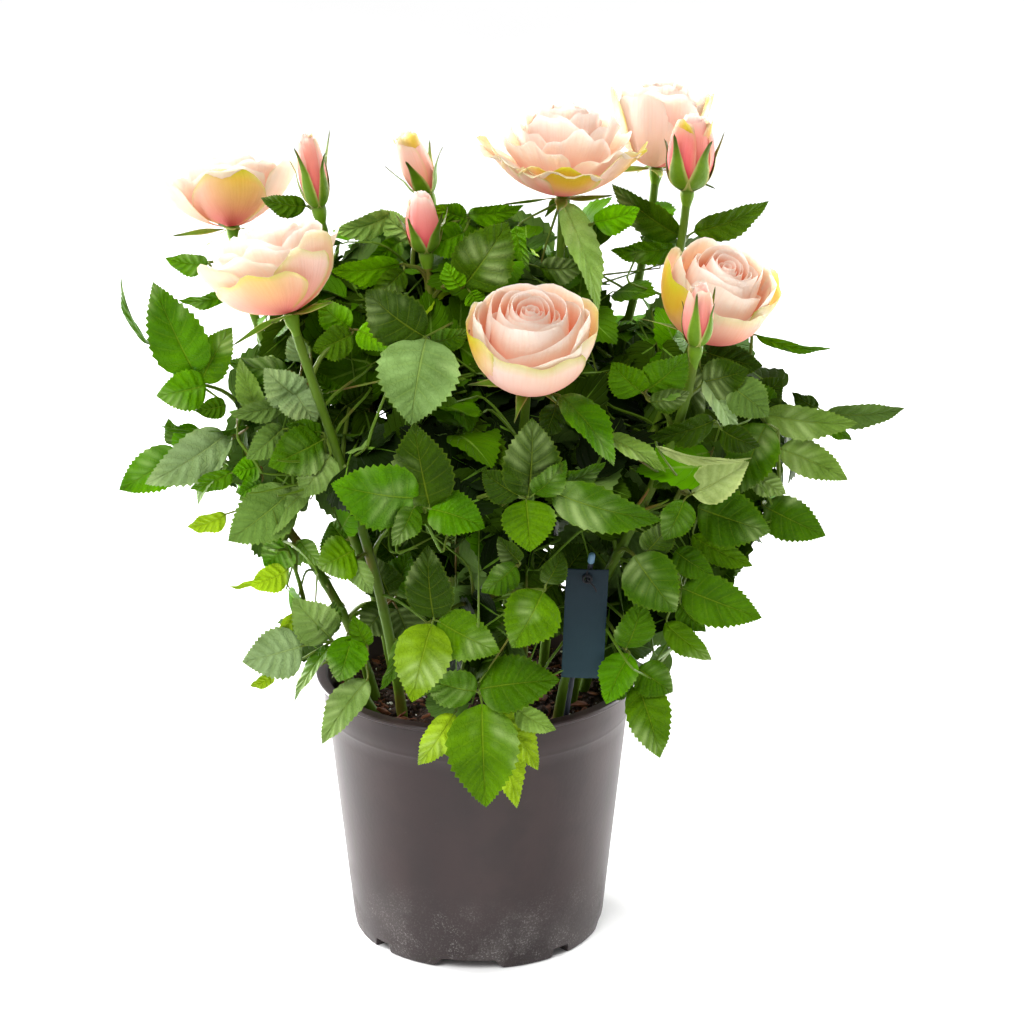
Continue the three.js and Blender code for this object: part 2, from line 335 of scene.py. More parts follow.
# ---- The flowers' places ---------------------------------------------------------------------
# Each flower: the middle of its foot, its axis, its radius and height, and its cane's foot in the soil.
BLOOMS = {
    "front": dict(at=(25.5, -81, 326.5), axis=(0.04, -0.44, 0.89), r=29.2, h=48.5, foot=(12, -28)),
    "front_left": dict(at=(-90, -64, 354), axis=(-0.3, 0.22, 0.93), r=32.5, h=46, foot=(-38, -30)),
    "back_left": dict(at=(-126.5, 56, 366), axis=(-0.12, 0.3, 0.95), r=29.5, h=39, foot=(-44, 22)),
    "top": dict(at=(43.5, 12, 393.5), axis=(0.02, 0.1, 0.99), r=38, h=47, foot=(22, 8)),
    "top_right": dict(at=(93, 72, 394), axis=(0.06, 0.06, 1), r=25, h=45, foot=(34, 36)),
    "right": dict(at=(112, -22, 334), axis=(0.30, -0.40, 0.88), r=27, h=46, foot=(48, -16)),
}
BUDS = {
    "left": dict(at=(-80, 20, 386), axis=(-0.16, 0, 1), r=9.8, h=38, foot=(-26, 12)),
    "back": dict(at=(-26, 55, 384), axis=(-0.34, 0, 0.95), r=11.5, h=35, foot=(-8, 40)),
    "middle": dict(at=(-25, -10, 370.5), axis=(-0.08, 0, 1), r=11.5, h=31, foot=(-10, -4)),
    "right_top": dict(at=(107, 25, 394), axis=(0.06, 0, 1), r=16.5, h=39, foot=(46, 12)),
    "right_front": dict(at=(107, -75, 341), axis=(0.08, 0, 1), r=9.8, h=31, foot=(40, -42)),
}
LEAFY_CANES = [
    dict(at=(-128, -20, 262), axis=(-0.7, -0.1, 0.7), foot=(-52, -6)),
    dict(at=(-86, -46, 180), axis=(-0.5, -0.3, 0.8), foot=(-50, -26)),
    dict(at=(138, 4, 268), axis=(0.7, 0, 0.7), foot=(54, 2)),
    dict(at=(6, 108, 214), axis=(0, 0.6, 0.8), foot=(4, 56)),
]
SOIL_TOP = 128.0
POT = dict(
    height=143, rim=85, rim_height=3, collar=80.5, collar_height=16, step=1.6, base=66, wall=2, floor=8,
)


def cane_path(cane, count=28):
    """A cane leaves the soil nearly upright, arches out, and ends along the axis of what it carries."""
    foot = np.array([*cane["foot"], SOIL_TOP - 6])
    end = np.array(cane["at"], float)
    rise = end[2] - SOIL_TOP
    lean = np.array([foot[0] * 0.25, foot[1] * 0.25, rise * 0.4 + 6])
    return bezier(foot, foot + lean, end - unit(cane["axis"]) * rise * 0.35, end, count)


# ---- Leaves ----------------------------------------------------------------------------------
SHOULDER, POINT = 0.62, 1.06  # how quickly a leaflet widens from its base, and narrows to its tip
SWEEP, SWEEP_FALL = 0.9, 1.08  # how far its side veins lean towards the tip, and how soon that fades
VEINS = 7


def blade_outline(x):
    """Half width of a leaflet, as a share of its greatest half width: full shoulders, then a short point."""
    x = np.clip(x, 0.001, 0.999)
    widest = SHOULDER / (SHOULDER + POINT)
    greatest = widest**SHOULDER * (1 - widest) ** POINT
    return np.maximum(x**SHOULDER * (1 - x) ** POINT / greatest, 0.02)


def leaflet(
    length, width, rows, columns, fold=0.3, curl=0.5, wave=0.6, relief=0.5, seed=0.0, teeth=1.0, twist=0.0
):
    """The top of one leaflet as a grid of places: base at the origin, tip on +X, face to +Z."""
    s = np.linspace(0, 1, rows)[:, None]
    t = np.asarray(columns)[None, :]
    reach = np.abs(t)
    half = width / 2 * blade_outline(s + SWEEP * s * (1 - s) ** SWEEP_FALL)
    odd = np.arange(rows)[:, None] % 2
    off_base, off_tip = np.clip((s - 0.05) * 8, 0, 1), np.clip((1 - s) * 9, 0, 1)
    saw = np.where(odd == 1, 1.0, -0.5) * reach**8 * off_base * off_tip
    x = s + SWEEP * reach**1.2 * s * (1 - s) ** SWEEP_FALL + teeth * 0.6 / rows * np.maximum(saw, 0)
    full = np.minimum(1, 2.4 * half / width)  # 0 at the ends, where the blade is too narrow for any relief
    y = np.sign(t) * (reach * half + saw * teeth * width * 0.03 * full)
    veins = 0.5 - 0.5 * np.cos(2 * np.pi * VEINS * s)
    z = relief * veins * (1 - reach**4) * np.minimum(1, reach * 4) * full
    z = z + wave * reach**3 * np.sin(2 * np.pi * (2.3 * s + 0.5 * np.sign(t) + seed)) * full
    z = z + np.abs(y) * math.sin(fold) * (1 - 0.35 * reach)
    bend = max(abs(curl), 1e-3) * (1 if curl >= 0 else -1)
    arc_x = np.sin(bend * x) / bend * length + z * np.sin(bend * x)
    arc_z = -(1 - np.cos(bend * x)) / bend * length + z * np.cos(bend * x)
    turn = bend / 2
    chord_x = (arc_x * math.cos(turn) - arc_z * math.sin(turn)) * turn / math.sin(turn)
    chord_z = arc_x * math.sin(turn) + arc_z * math.cos(turn)
    roll = twist * (x - 0.3)
    return np.stack(np.broadcast_arrays(chord_x, y * np.cos(roll), chord_z + y * np.sin(roll)), -1)


FINE_COLUMNS = [-1, -0.82, -0.6, -0.36, -0.14, 0, 0.14, 0.36, 0.6, 0.82, 1]
PLAIN_COLUMNS = [-1, -0.5, -0.06, 0.06, 0.5, 1]
FINE_ROWS, PLAIN_ROWS = 35, 19
FINE_THICKNESS, PLAIN_THICKNESS = 0.28, 0.22

# The colour of a leaf's top in each tint.
LEAF_TINTS = {
    "bright": tone(72, 122, 0),
    "fresh": tone(80, 120, 0),
    # painted light: a lighter tint for a leaf that light falls on
    "lit": tone(112, 146, 10),
    "mid": tone(60, 98, 0),
    "dark": tone(44, 68, 2),
    # painted shade: a near-black tint for leaves deep inside the crown, where shade falls
    "deep": tone(16, 30, 3),
    # grey and blue: grey-green leaves, their colour partly painting the sheen on them
    "grey": tone(104, 132, 62),
    "blue": tone(142, 168, 112),
    "young": tone(140, 172, 22),
    "olive": tone(112, 144, 56),
    "pale": tone(166, 180, 112),
    "slate": tone(84, 112, 46),
    "soft": tone(116, 146, 80),
}
UNDERSIDE = tone(88, 116, 52)
MIDRIB = tone(92, 128, 38)


def leaf_finish(name, colour, rough=0.5):
    """A plain leaf tint with the veins raised on it, for the leaves that the rule grows."""
    leaf = Finish(name, Specular_IOR_Level=0.04)
    along, across = leaf.along_and_across()
    slanted = along * VEINS - (across - 0.5).math("ABSOLUTE") * 3.0
    ridge = (slanted.math("FRACT") - 0.5).math("ABSOLUTE").step(0.36, 0.5)
    crinkle = leaf.noise(900.0, 3.0)
    # darker and lighter areas across the leaves: partly their own tone, partly painted light and shade
    cloud = leaf.noise(26.0, 2.0).step(0.36, 0.66)
    leaf.set(Base_Color=leaf.mix(cloud, shaded(colour, 0.72), shaded(colour, 1.42)))
    leaf.set(Roughness=0.2 * leaf.noise(160.0) + (rough - 0.1))
    leaf.set(Normal=leaf.bump(crinkle * 0.5 - ridge * 0.8, 0.0004, 0.8))
    return leaf.material


def fine_leaf_finish():
    """The leaves seen closest: a tint of their own, with paler veins and margin, painted shade along the
    veins, and painted highlights and sheen.
    """
    leaf = Finish("leaf_near", Specular_IOR_Level=0.05)
    along, across = leaf.along_and_across()
    aside = (across - 0.5).math("ABSOLUTE") * 2.0
    band = ((along * VEINS).math("FRACT") - 0.5).math("ABSOLUTE")
    lateral = band.step(0.42, 0.5) * (1 - aside.step(0.5, 0.95) * 0.8)
    swell = (1 - band.step(0.0, 0.42)) * aside.step(0.0, 0.2)
    rib = 1 - aside.step(0.012, 0.05)
    net = leaf.cells(420.0, "DISTANCE_TO_EDGE").step(0.0, 0.16)
    tint = leaf.own("tint")
    pale = leaf.mix(0.4, tint, tone(172, 192, 50))
    deeper = leaf.mix(1.0, tint, tone(176, 186, 150), "MULTIPLY")
    mottle = leaf.noise(60.0).step(0.35, 0.7)
    # darker towards the veins, (1 - swell): painted shade in the grooves between the cushions; net and mottle
    # are the leaf's own tone
    base = leaf.mix((1 - net) * 0.1 + mottle * 0.5 + (1 - swell) * 0.25, tint, deeper)
    # painted highlights: areas of the leaf's colour made half again as light
    painted_highlight = leaf.noise(26.0, 2.0).step(0.42, 0.68)
    base = leaf.mix(painted_highlight, base, leaf.mix(1.0, base, (1.55, 1.5, 1.6, 1), "MULTIPLY"))
    # painted sheen: a pale green sheen on the cushions between the veins, fainter elsewhere
    sheen = leaf.noise(34.0, 2.0).step(0.5, 0.72)
    base = leaf.mix(sheen * (swell * 0.42 + 0.24), base, tone(164, 186, 116))
    veined = leaf.mix(lateral * 0.14, base, pale)
    ribbed = leaf.mix(rib * 0.34, veined, pale)
    rim = leaf.mix(aside.step(0.9, 1.0) * 0.08, ribbed, tone(150, 176, 40))
    leaf.set(Base_Color=rim, Roughness=0.26 * leaf.noise(140.0) + 0.34)
    leaf.set(Normal=leaf.bump(net * 0.3 + leaf.noise(700.0) * 0.4 + swell * 0.8 - rib, 0.0008, 0.8))
    return leaf.material


# Leaves that are placed one by one. Each spray: the pixel of the view and the depth in mm of the node
# that its leaflets leave, then its leaflets: pixel of the base and of the tip, width in mm, turn about
# the midrib in degrees (0 faces the viewer), how far the tip lies behind the base in mm, tint, and fold.
SPRAYS = [
    ((199, 384, -48), [
        (195, 373, 153, 282, 30, 10, -8, "bright", 0.25), (201, 382, 232, 327, 22, -18, 4, "mid", 0.3),
        (206, 385, 156, 396, 22, 12, -8, "bright", 0.35), (226, 405, 195, 411, 12, 14, -5, "mid", 0.3),
        (150, 345, 121, 277, 12, 72, 4, "mid", 0.6)]),
    ((236, 436, -46), [
        (226, 434, 145, 484, 27, 20, -12, "blue", 0.4), (232, 440, 198, 505, 16, -48, -6, "blue", 0.5),
        (249, 426, 157, 425, 9, 68, 0, "mid", 0.5), (201, 430, 172, 446, 17, 12, 4, "bright", 0.3)]),
    ((176, 450, -26), [
        (180, 452, 119, 490, 24, 12, -2, "bright", 0.3), (180, 445, 168, 418, 12, 30, 0, "mid", 0.3)]),
    ((302, 492, -66), [
        (292, 490, 228, 541, 30, 14, -8, "slate", 0.35), (310, 488, 262, 543, 17, -36, -8, "grey", 0.45),
        (226, 514, 187, 527, 15, 45, 0, "young", 0.3)]),
    ((326, 438, -72), [
        (322, 440, 268, 466, 27, 12, -8, "mid", 0.25), (331, 456, 301, 498, 22, -12, -8, "grey", 0.3),
        (322, 432, 286, 424, 16, 34, 0, "mid", 0.3), (283, 428, 246, 459, 17, 16, -10, "slate", 0.3)]),
    ((300, 378, -50), [
        (288, 370, 226, 360, 19, 38, 2, "mid", 0.35), (262, 416, 240, 358, 16, 30, -4, "olive", 0.3),
        (300, 398, 264, 368, 23, 16, -10, "blue", 0.4), (288, 402, 230, 414, 14, 34, -8, "grey", 0.3),
        (292, 388, 315, 424, 24, -8, -10, "blue", 0.45), (302, 362, 296, 330, 14, 30, 0, "blue", 0.4)]),
    ((350, 404, -34), [
        (340, 402, 318, 372, 16, 30, -2, "mid", 0.3), (346, 406, 372, 384, 17, 28, -2, "dark", 0.3),
        (342, 410, 322, 446, 17, -24, -4, "dark", 0.3)]),
    ((352, 330, -60), [
        (350, 328, 318, 300, 18, 28, 2, "mid", 0.3), (352, 334, 312, 350, 20, 30, -4, "dark", 0.3),
        (358, 330, 392, 350, 18, -24, -4, "mid", 0.3)]),
    ((262, 474, -58), [
        (260, 466, 232, 472, 14, 14, -2, "bright", 0.3), (262, 482, 238, 494, 14, 18, -4, "bright", 0.3),
        (232, 472, 190, 489, 13, 30, 6, "mid", 0.3)]),
    ((296, 545, -60), [
        (289, 543, 264, 566, 20, 12, 0, "bright", 0.3), (288, 570, 250, 586, 16, 20, -2, "young", 0.35),
        (268, 574, 227, 587, 7, 60, 0, "young", 0.3), (300, 540, 322, 566, 13, 30, -4, "mid", 0.3)]),
    ((352, 560, -66), [
        (354, 550, 318, 568, 25, 10, -4, "fresh", 0.3), (356, 560, 372, 594, 14, 30, -4, "grey", 0.3)]),
    ((333, 641, -72), [
        (331, 638, 293, 598, 25, 8, -6, "grey", 0.25), (302, 646, 242, 662, 28, 10, -8, "blue", 0.25),
        (331, 646, 294, 702, 12, -50, -4, "mid", 0.4), (324, 634, 334, 600, 14, 30, 0, "mid", 0.3),
        (298, 612, 274, 636, 11, 42, 0, "young", 0.3), (274, 675, 250, 686, 9, 42, 0, "young", 0.3)]),
    ((366, 662, -78), [
        (352, 636, 338, 682, 22, 12, -4, "bright", 0.3), (368, 680, 322, 744, 20, -28, -12, "grey", 0.5),
        (368, 646, 353, 615, 13, 26, 0, "mid", 0.3), (362, 652, 338, 640, 12, 40, 0, "bright", 0.3)]),
    ((392, 600, -16), [
        (390, 596, 374, 556, 24, 12, -4, "dark", 0.3), (396, 596, 410, 552, 24, -14, -4, "mid", 0.3),
        (386, 606, 362, 634, 22, 16, -4, "dark", 0.3), (397, 608, 412, 648, 24, -10, -4, "dark", 0.3)]),
    ((434, 620, -106), [
        (432, 624, 412, 702, 30, -10, -12, "lit", 0.25), (438, 621, 500, 652, 27, 20, -6, "fresh", 0.3),
        (434, 618, 428, 545, 26, 18, 2, "dark", 0.25), (402, 636, 380, 690, 13, 44, -4, "mid", 0.4)]),
    ((480, 694, -103), [
        (476, 691, 421, 676, 24, 30, -4, "mid", 0.3), (480, 689, 560, 680, 31, -14, -6, "mid", 0.25),
        (482, 704, 486, 807, 38, 6, -8, "fresh", 0.25), (516, 708, 556, 730, 16, 34, -2, "olive", 0.3)]),
    ((490, 708, -95), [
        (490, 712, 517, 808, 22, -20, -4, "young", 0.3), (500, 712, 538, 770, 18, -26, 0, "young", 0.3)]),
    ((456, 712, -101), [
        (454, 714, 418, 765, 19, 22, -5, "young", 0.35)]),
    ((424, 504, -122), [
        (430, 507, 414, 423, 33, 12, 6, "dark", 0.25), (418, 498, 331, 484, 36, 24, -8, "bright", 0.3),
        (430, 509, 485, 528, 25, -24, -9, "bright", 0.3), (414, 506, 392, 546, 17, 34, -4, "mid", 0.3)]),
    ((428, 338, -96), [
        (426, 339, 411, 425, 42, -12, -16, "soft", 0.3), (424, 336, 366, 290, 31, 26, 6, "dark", 0.3),
        (432, 342, 470, 330, 16, 40, 0, "mid", 0.3)]),
    ((527, 498, -122), [
        (528, 496, 532, 418, 31, 14, 2, "dark", 0.25), (526, 500, 530, 552, 28, -10, -8, "fresh", 0.25),
        (520, 496, 482, 470, 20, 30, 0, "dark", 0.3), (534, 494, 566, 460, 18, 34, 0, "mid", 0.3)]),
    ((548, 490, -116), [
        (551, 491, 662, 520, 27, 30, -10, "mid", 0.35), (556, 486, 606, 462, 14, 42, 0, "mid", 0.3)]),
    ((560, 396, -92), [
        (560, 396, 614, 466, 24, -44, -10, "bright", 0.45), (556, 404, 542, 440, 16, 30, -4, "dark", 0.3)]),
    ((518, 566, -112), [
        (516, 565, 481, 592, 19, 38, -6, "mid", 0.3), (520, 562, 498, 536, 14, 34, 0, "dark", 0.3)]),
    ((545, 590, -114), [
        (543, 592, 512, 648, 31, 14, -8, "fresh", 0.25), (546, 584, 562, 552, 15, 30, 0, "dark", 0.3)]),
    ((642, 562, -84), [
        (634, 556, 676, 612, 30, 8, -6, "mid", 0.25), (646, 552, 672, 520, 18, 20, 0, "dark", 0.3)]),
    ((550, 552, 8), [
        (548, 552, 530, 578, 28, 10, 2, "dark", 0.3), (552, 550, 574, 560, 28, -12, 2, "dark", 0.3),
        (548, 546, 536, 516, 26, 12, 2, "dark", 0.3)]),
    ((398, 560, 4), [
        (396, 558, 372, 532, 30, 8, 4, "dark", 0.3), (402, 558, 428, 536, 30, -10, 4, "dark", 0.3),
        (400, 564, 420, 596, 30, 10, 2, "mid", 0.3), (394, 566, 378, 600, 28, -8, 2, "dark", 0.3)]),
    ((416, 614, 10), [
        (414, 610, 392, 586, 26, 10, 2, "dark", 0.3), (418, 618, 398, 652, 30, 10, 2, "dark", 0.3),
        (420, 612, 446, 630, 28, -8, 2, "mid", 0.3)]),
    ((476, 588, 10), [
        (474, 584, 458, 560, 26, 10, 2, "dark", 0.3), (480, 586, 502, 566, 26, -10, 2, "dark", 0.3),
        (476, 592, 468, 624, 28, 10, 2, "dark", 0.3)]),
    ((442, 560, 40), [
        (440, 556, 422, 526, 34, 10, 4, "dark", 0.3), (446, 558, 474, 538, 34, -10, 4, "dark", 0.3),
        (440, 566, 430, 602, 34, 10, 2, "dark", 0.3), (448, 566, 474, 592, 34, -8, 2, "dark", 0.3)]),
    ((502, 564, 44), [
        (498, 560, 482, 532, 34, 10, 4, "dark", 0.3), (506, 562, 530, 538, 34, -10, 4, "dark", 0.3),
        (500, 570, 490, 606, 34, 10, 2, "dark", 0.3), (508, 570, 536, 594, 34, -8, 2, "dark", 0.3)]),
    ((352, 548, 30), [
        (350, 546, 330, 522, 30, 10, 4, "mid", 0.3), (356, 546, 382, 522, 30, -10, 4, "dark", 0.3)]),
    ((600, 566, 40), [
        (596, 562, 578, 536, 32, 10, 4, "dark", 0.3), (602, 570, 590, 604, 32, 10, 2, "dark", 0.3)]),
    ((560, 586, -58), [
        (556, 582, 524, 604, 27, 10, -2, "dark", 0.3), (562, 578, 588, 544, 26, -12, -2, "dark", 0.3),
        (562, 592, 596, 618, 27, 10, -2, "dark", 0.3), (556, 594, 548, 640, 26, -10, -4, "dark", 0.3)]),
    ((626, 650, -80), [
        (626, 648, 642, 600, 22, 26, 0, "mid", 0.3), (630, 654, 606, 704, 22, -24, -6, "bright", 0.3)]),
    ((824, 412, -4), [
        (826, 413, 905, 408, 16, 34, 0, "slate", 0.4), (822, 416, 852, 440, 13, 40, -2, "mid", 0.3),
        (818, 408, 792, 392, 13, 40, 2, "dark", 0.3)]),
    ((768, 428, -24), [
        (763, 414, 858, 423, 20, 26, -2, "olive", 0.5), (780, 449, 848, 480, 20, -16, -6, "olive", 0.4),
        (770, 412, 742, 380, 20, 12, 2, "mid", 0.3), (754, 404, 782, 378, 19, 14, 2, "dark", 0.3)]),
    ((704, 384, -62), [
        (704, 380, 736, 437, 17, -40, -6, "blue", 0.4), (702, 382, 749, 370, 22, 12, 0, "dark", 0.3),
        (730, 386, 769, 416, 22, -12, -3, "slate", 0.3), (698, 388, 672, 420, 20, 28, -3, "dark", 0.3)]),
    ((645, 394, -84), [
        (642, 392, 612, 362, 22, 34, -2, "mid", 0.35), (647, 390, 687, 353, 26, 26, -3, "mid", 0.3),
        (650, 402, 690, 392, 16, 40, 0, "dark", 0.3)]),
    ((718, 424, -70), [
        (714, 420, 648, 437, 19, 40, -4, "dark", 0.35), (722, 430, 760, 446, 18, 34, -3, "dark", 0.3)]),
    ((690, 494, -84), [
        (692, 494, 749, 462, 23, 160, -3, "pale", -0.3), (656, 446, 752, 458, 11, 62, -3, "pale", 0.6),
        (606, 438, 666, 472, 15, -48, -4, "olive", 0.5), (684, 500, 664, 540, 20, 30, -4, "mid", 0.3)]),
    ((778, 430, -46), [
        (766, 424, 736, 495, 28, -10, -6, "mid", 0.3), (752, 474, 786, 494, 15, 14, 0, "olive", 0.3)]),
    ((700, 356, -34), [
        (706, 352, 763, 366, 19, 22, -2, "dark", 0.35), (700, 366, 716, 398, 16, 20, -4, "dark", 0.3)]),
    ((704, 502, -64), [
        (698, 508, 771, 532, 31, 8, -8, "mid", 0.25), (700, 494, 740, 478, 16, 30, 0, "mid", 0.3),
        (692, 536, 753, 566, 16, 22, -3, "fresh", 0.35)]),
    ((762, 502, -40), [
        (764, 506, 826, 536, 24, 8, -6, "mid", 0.3)]),
    ((682, 588, -72), [
        (682, 588, 762, 618, 27, 10, -6, "mid", 0.3), (680, 604, 706, 632, 14, 24, -2, "mid", 0.3),
        (665, 623, 712, 660, 16, 22, -2, "fresh", 0.4), (675, 551, 714, 576, 17, 18, -2, "mid", 0.3)]),
    ((644, 690, -74), [
        (637, 684, 660, 758, 25, -14, -6, "fresh", 0.25), (638, 668, 673, 692, 21, 12, -2, "mid", 0.3),
        (628, 676, 606, 700, 14, 34, -2, "mid", 0.3)]),
    ((466, 284, -34), [
        (464, 286, 508, 222, 33, 12, 8, "dark", 0.25), (460, 288, 446, 262, 15, 34, 0, "mid", 0.3),
        (470, 292, 484, 306, 12, 30, 0, "mid", 0.3)]),
    ((470, 216, -2), [
        (468, 214, 524, 205, 15, 42, 0, "mid", 0.35), (466, 218, 435, 206, 17, 36, 0, "mid", 0.3),
        (464, 232, 422, 246, 20, 28, -6, "mid", 0.3)]),
    ((560, 202, 6), [
        (562, 202, 598, 312, 22, -40, -16, "grey", 0.45), (540, 268, 586, 266, 18, 36, -2, "dark", 0.3),
        (516, 226, 530, 272, 14, 40, -6, "mid", 0.3)]),
    ((596, 222, 0), [
        (594, 222, 640, 208, 18, 32, -2, "bright", 0.35)]),
    ((416, 240, 10), [
        (418, 240, 380, 209, 18, 34, 0, "grey", 0.35), (392, 214, 332, 231, 18, 42, -4, "grey", 0.4),
        (402, 240, 368, 259, 15, 38, -2, "mid", 0.3)]),
    ((402, 264, -24), [
        (400, 264, 330, 270, 19, 40, -5, "mid", 0.4), (404, 270, 372, 296, 16, 32, -3, "dark", 0.3)]),
    ((308, 206, 24), [
        (306, 206, 261, 198, 16, 38, 0, "dark", 0.35)]),
    ((208, 262, 20), [
        (208, 264, 165, 258, 15, 34, -4, "mid", 0.35), (229, 294, 178, 300, 12, 46, -4, "mid", 0.4)]),
    ((688, 236, 30), [
        (694, 232, 769, 201, 20, 36, 0, "dark", 0.4), (680, 236, 612, 184, 22, 34, 2, "dark", 0.5),
        (678, 246, 610, 250, 17, 46, -4, "mid", 0.45)]),
    ((752, 334, 4), [
        (756, 335, 832, 348, 10, 56, 0, "mid", 0.4)]),
]

# The crown's outline in the view, clockwise from the left, for the leaves that the rule grows.
CROWN_OUTLINE = np.array([
    (222, 476), (236, 430), (244, 385), (238, 350), (262, 322), (282, 300), (262, 268), (270, 240),
    (262, 205), (330, 206), (400, 200), (440, 196), (480, 196), (540, 200), (620, 190), (690, 205),
    (735, 212), (720, 250), (735, 300), (752, 352), (770, 385), (802, 415), (802, 470), (780, 492),
    (790, 520), (748, 556), (735, 600), (700, 632), (660, 668), (640, 704), (612, 700), (560, 700),
    (500, 706), (430, 708), (385, 690), (352, 690), (318, 668), (300, 640), (300, 600), (282, 575),
    (262, 548), (244, 520), (225, 500),
])
# Ovals of the view, each with its middle and half sizes: where light shows through the crown, where
# the crown is deepest in shade, and where its foliage is thin, with the share of the leaves kept there.
SKY = [(248, 344, 16, 12), (266, 426, 6, 8), (338, 402, 9, 9), (379, 420, 7, 20), (625, 258, 26, 18),
       (622, 310, 18, 12), (352, 606, 28, 22), (330, 560, 22, 14), (403, 563, 4, 4), (630, 560, 5, 5),
       (255, 590, 24, 18), (720, 300, 50, 30), (300, 520, 14, 10), (460, 553, 5, 4)]
SHADE = [(662, 405, 96, 62), (545, 455, 70, 50), (470, 430, 60, 40)]
THIN = [(300, 600, 100, 62, 0.3), (210, 440, 60, 90, 0.5), (712, 640, 70, 60, 0.45), (780, 440, 60, 90, 0.6),
        (350, 590, 34, 50, 0.5), (625, 280, 50, 40, 0.4), (300, 520, 60, 40, 0.55), (600, 660, 60, 40, 0.5)]
SKY_MARGIN = 5  # pixels that a leaflet keeps from the light showing through
DEEP_MARGIN, DEEP_REACH = 24, 34  # pixels to the light and to the outline, from which a place is deep inside
# Boxes of the view, each with its middle and half sizes, that twigs, shoots and leaves keep clear in
# front of the plant label.
LABEL_BOXES = dict(twigs=((586, 630), (32, 80)), shoots=((586, 630), (34, 84)), leaves=((586, 634), (44, 90)))
LABEL_AHEAD, LABEL_DEPTH = 1712, -40  # mm from the camera, and y of the plane behind the label
# Painted light: leaves are coloured lighter above this row of the view, and in the box (left, right,
# top, bottom) at its left, where they stand in open light.
LIT_ABOVE, LIT_LEFT = 335, (0, 330, 470, 570)
LIT_FACTORS = dict(top=2.3, left=1.4)


def in_oval(place, oval, margin=0.0, wider=1.0):
    """Whether a place of the view lies in an oval, grown by a margin of pixels or by a factor."""
    u, v, half_u, half_v = oval
    across = (place[0] - u) / (half_u + margin) / wider
    down = (place[1] - v) / (half_v + margin) / wider
    return across**2 + down**2 < 1


def inside_outline(places, outline):
    """Which places of the view lie inside the closed outline."""
    within = np.zeros(len(places), bool)
    previous = outline[-1]
    for corner in outline:
        (x1, y1), (x2, y2) = previous, corner
        crosses = (y1 > places[:, 1]) != (y2 > places[:, 1])
        at_x = (x2 - x1) * (places[:, 1] - y1) / (y2 - y1 + 1e-9) + x1
        within ^= crosses & (places[:, 0] < at_x)
        previous = corner
    return within


def in_crown(point, slack):
    """Whether a point shows inside the crown's outline and clear of the light that shows through it."""
    places, _ = in_view(point)
    clear = not any(in_oval(places[0], hole, wider=slack) for hole in SKY)
    return clear and inside_outline(places, CROWN_OUTLINE)[0]


def well_inside(spot):
    """Whether a place of the view lies deep in the crown, away from its outline and the light in it."""
    steps = np.array([(0, 0), (DEEP_REACH, 0), (-DEEP_REACH, 0), (0, DEEP_REACH), (0, -DEEP_REACH)])
    clear = not any(in_oval(spot, hole, DEEP_MARGIN) for hole in SKY)
    return clear and inside_outline(np.array(spot) + steps, CROWN_OUTLINE).all()


def in_label_box(places, kind):
    """Which places of the view lie in the box that this kind of thing keeps clear."""
    middle, half = LABEL_BOXES[kind]
    return (np.abs(places - np.array(middle)) < half).all(axis=-1)


def before_label(point):
    """Whether a point of a shoot would show in front of the plant label."""
    places, _ = in_view(point)
    return bool(point[1] < LABEL_DEPTH and in_label_box(places[0], "shoots"))


def painted_light_at(u, v):
    """How much lighter the leaves are painted at a place of the view where they stand in open light: painted
    light.
    """
    left, right, top, bottom = LIT_LEFT
    if v < LIT_ABOVE:
        return LIT_FACTORS["top"]
    return LIT_FACTORS["left"] if left < u < right and top < v < bottom else 1.0


def rolled(angle):
    """Columns of a turn about the X axis."""
    c, s = math.cos(angle), math.sin(angle)
    return np.array([[1, 0, 0], [0, c, -s], [0, s, c]])


def place_sprays(near, wood, twigs):
    """Lays the leaves of the sprays, each on its stalk, and returns what they cover in the view."""
    cover, laid = [], 0
    rng = np.random.default_rng(5)
    faces = sheet_faces(FINE_ROWS, len(FINE_COLUMNS))
    uv = blade_map(FINE_ROWS, FINE_COLUMNS)
    top = FINE_ROWS * len(FINE_COLUMNS)
    stalk_radii = [0.75, 0.7, 0.6, 0.55, 0.5]
    for (node_u, node_v, depth), leaflets in SPRAYS:
        node = seen_at(node_u, node_v, depth + 3)
        for u0, v0, u1, v1, width, roll, reach, tint, fold in leaflets:
            base, tip = seen_at(u0, v0, depth), seen_at(u1, v1, depth + reach)
            along = tip - base
            angle = math.radians(roll) * (1 if along[0] >= 0 else -1)
            form = leaflet(
                np.linalg.norm(along), width * 0.94, FINE_ROWS, FINE_COLUMNS, fold * 0.75,
                curl=0.5 + 0.3 * rng.random(), wave=0.5 + 0.6 * rng.random(), seed=rng.random(),
                twist=rng.normal(0, 0.25),
            )
            form = form @ (basis(along, EYE - base) @ rolled(angle)).T + base
            # painted light: leaves in open light are given a lighter colour
            colour = np.array(LEAF_TINTS[tint]) * (0.92 + 0.16 * rng.random()) * painted_light_at(node_u, node_v)
            tints = np.tile(colour, (len(uv), 1))
            tints[top:] = np.array(UNDERSIDE) * 0.4 + tints[top:] * 0.6
            tints[:, 3] = 1
            near[laid % 2].lay(sheet_corners(form, FINE_THICKNESS), faces, 0, uv, tints)
            way = unit(along)
            stalk = bezier(node, node * 0.6 + base * 0.4, base - way * 2, base + way * 1.5, len(stalk_radii))
            tube(twigs, stalk, stalk_radii, 5, 1)
            laid += 1
            if depth < 0 or node_v < LIT_ABOVE:
                cover.append((base, tip, width))
        nearest = wood[np.argmin(np.linalg.norm((wood - node) * [1, 1, 0.8] + [0, 0, 12], axis=1))]
        out = unit(node - nearest)
        twig = bezier(nearest, nearest + [0, 0, 10] + out * 8, node - out * 12 + [0, 0, 3], node, 9)
        tube(twigs, twig, np.linspace(1.3, 0.85, 9), 6, 1)
    return cover


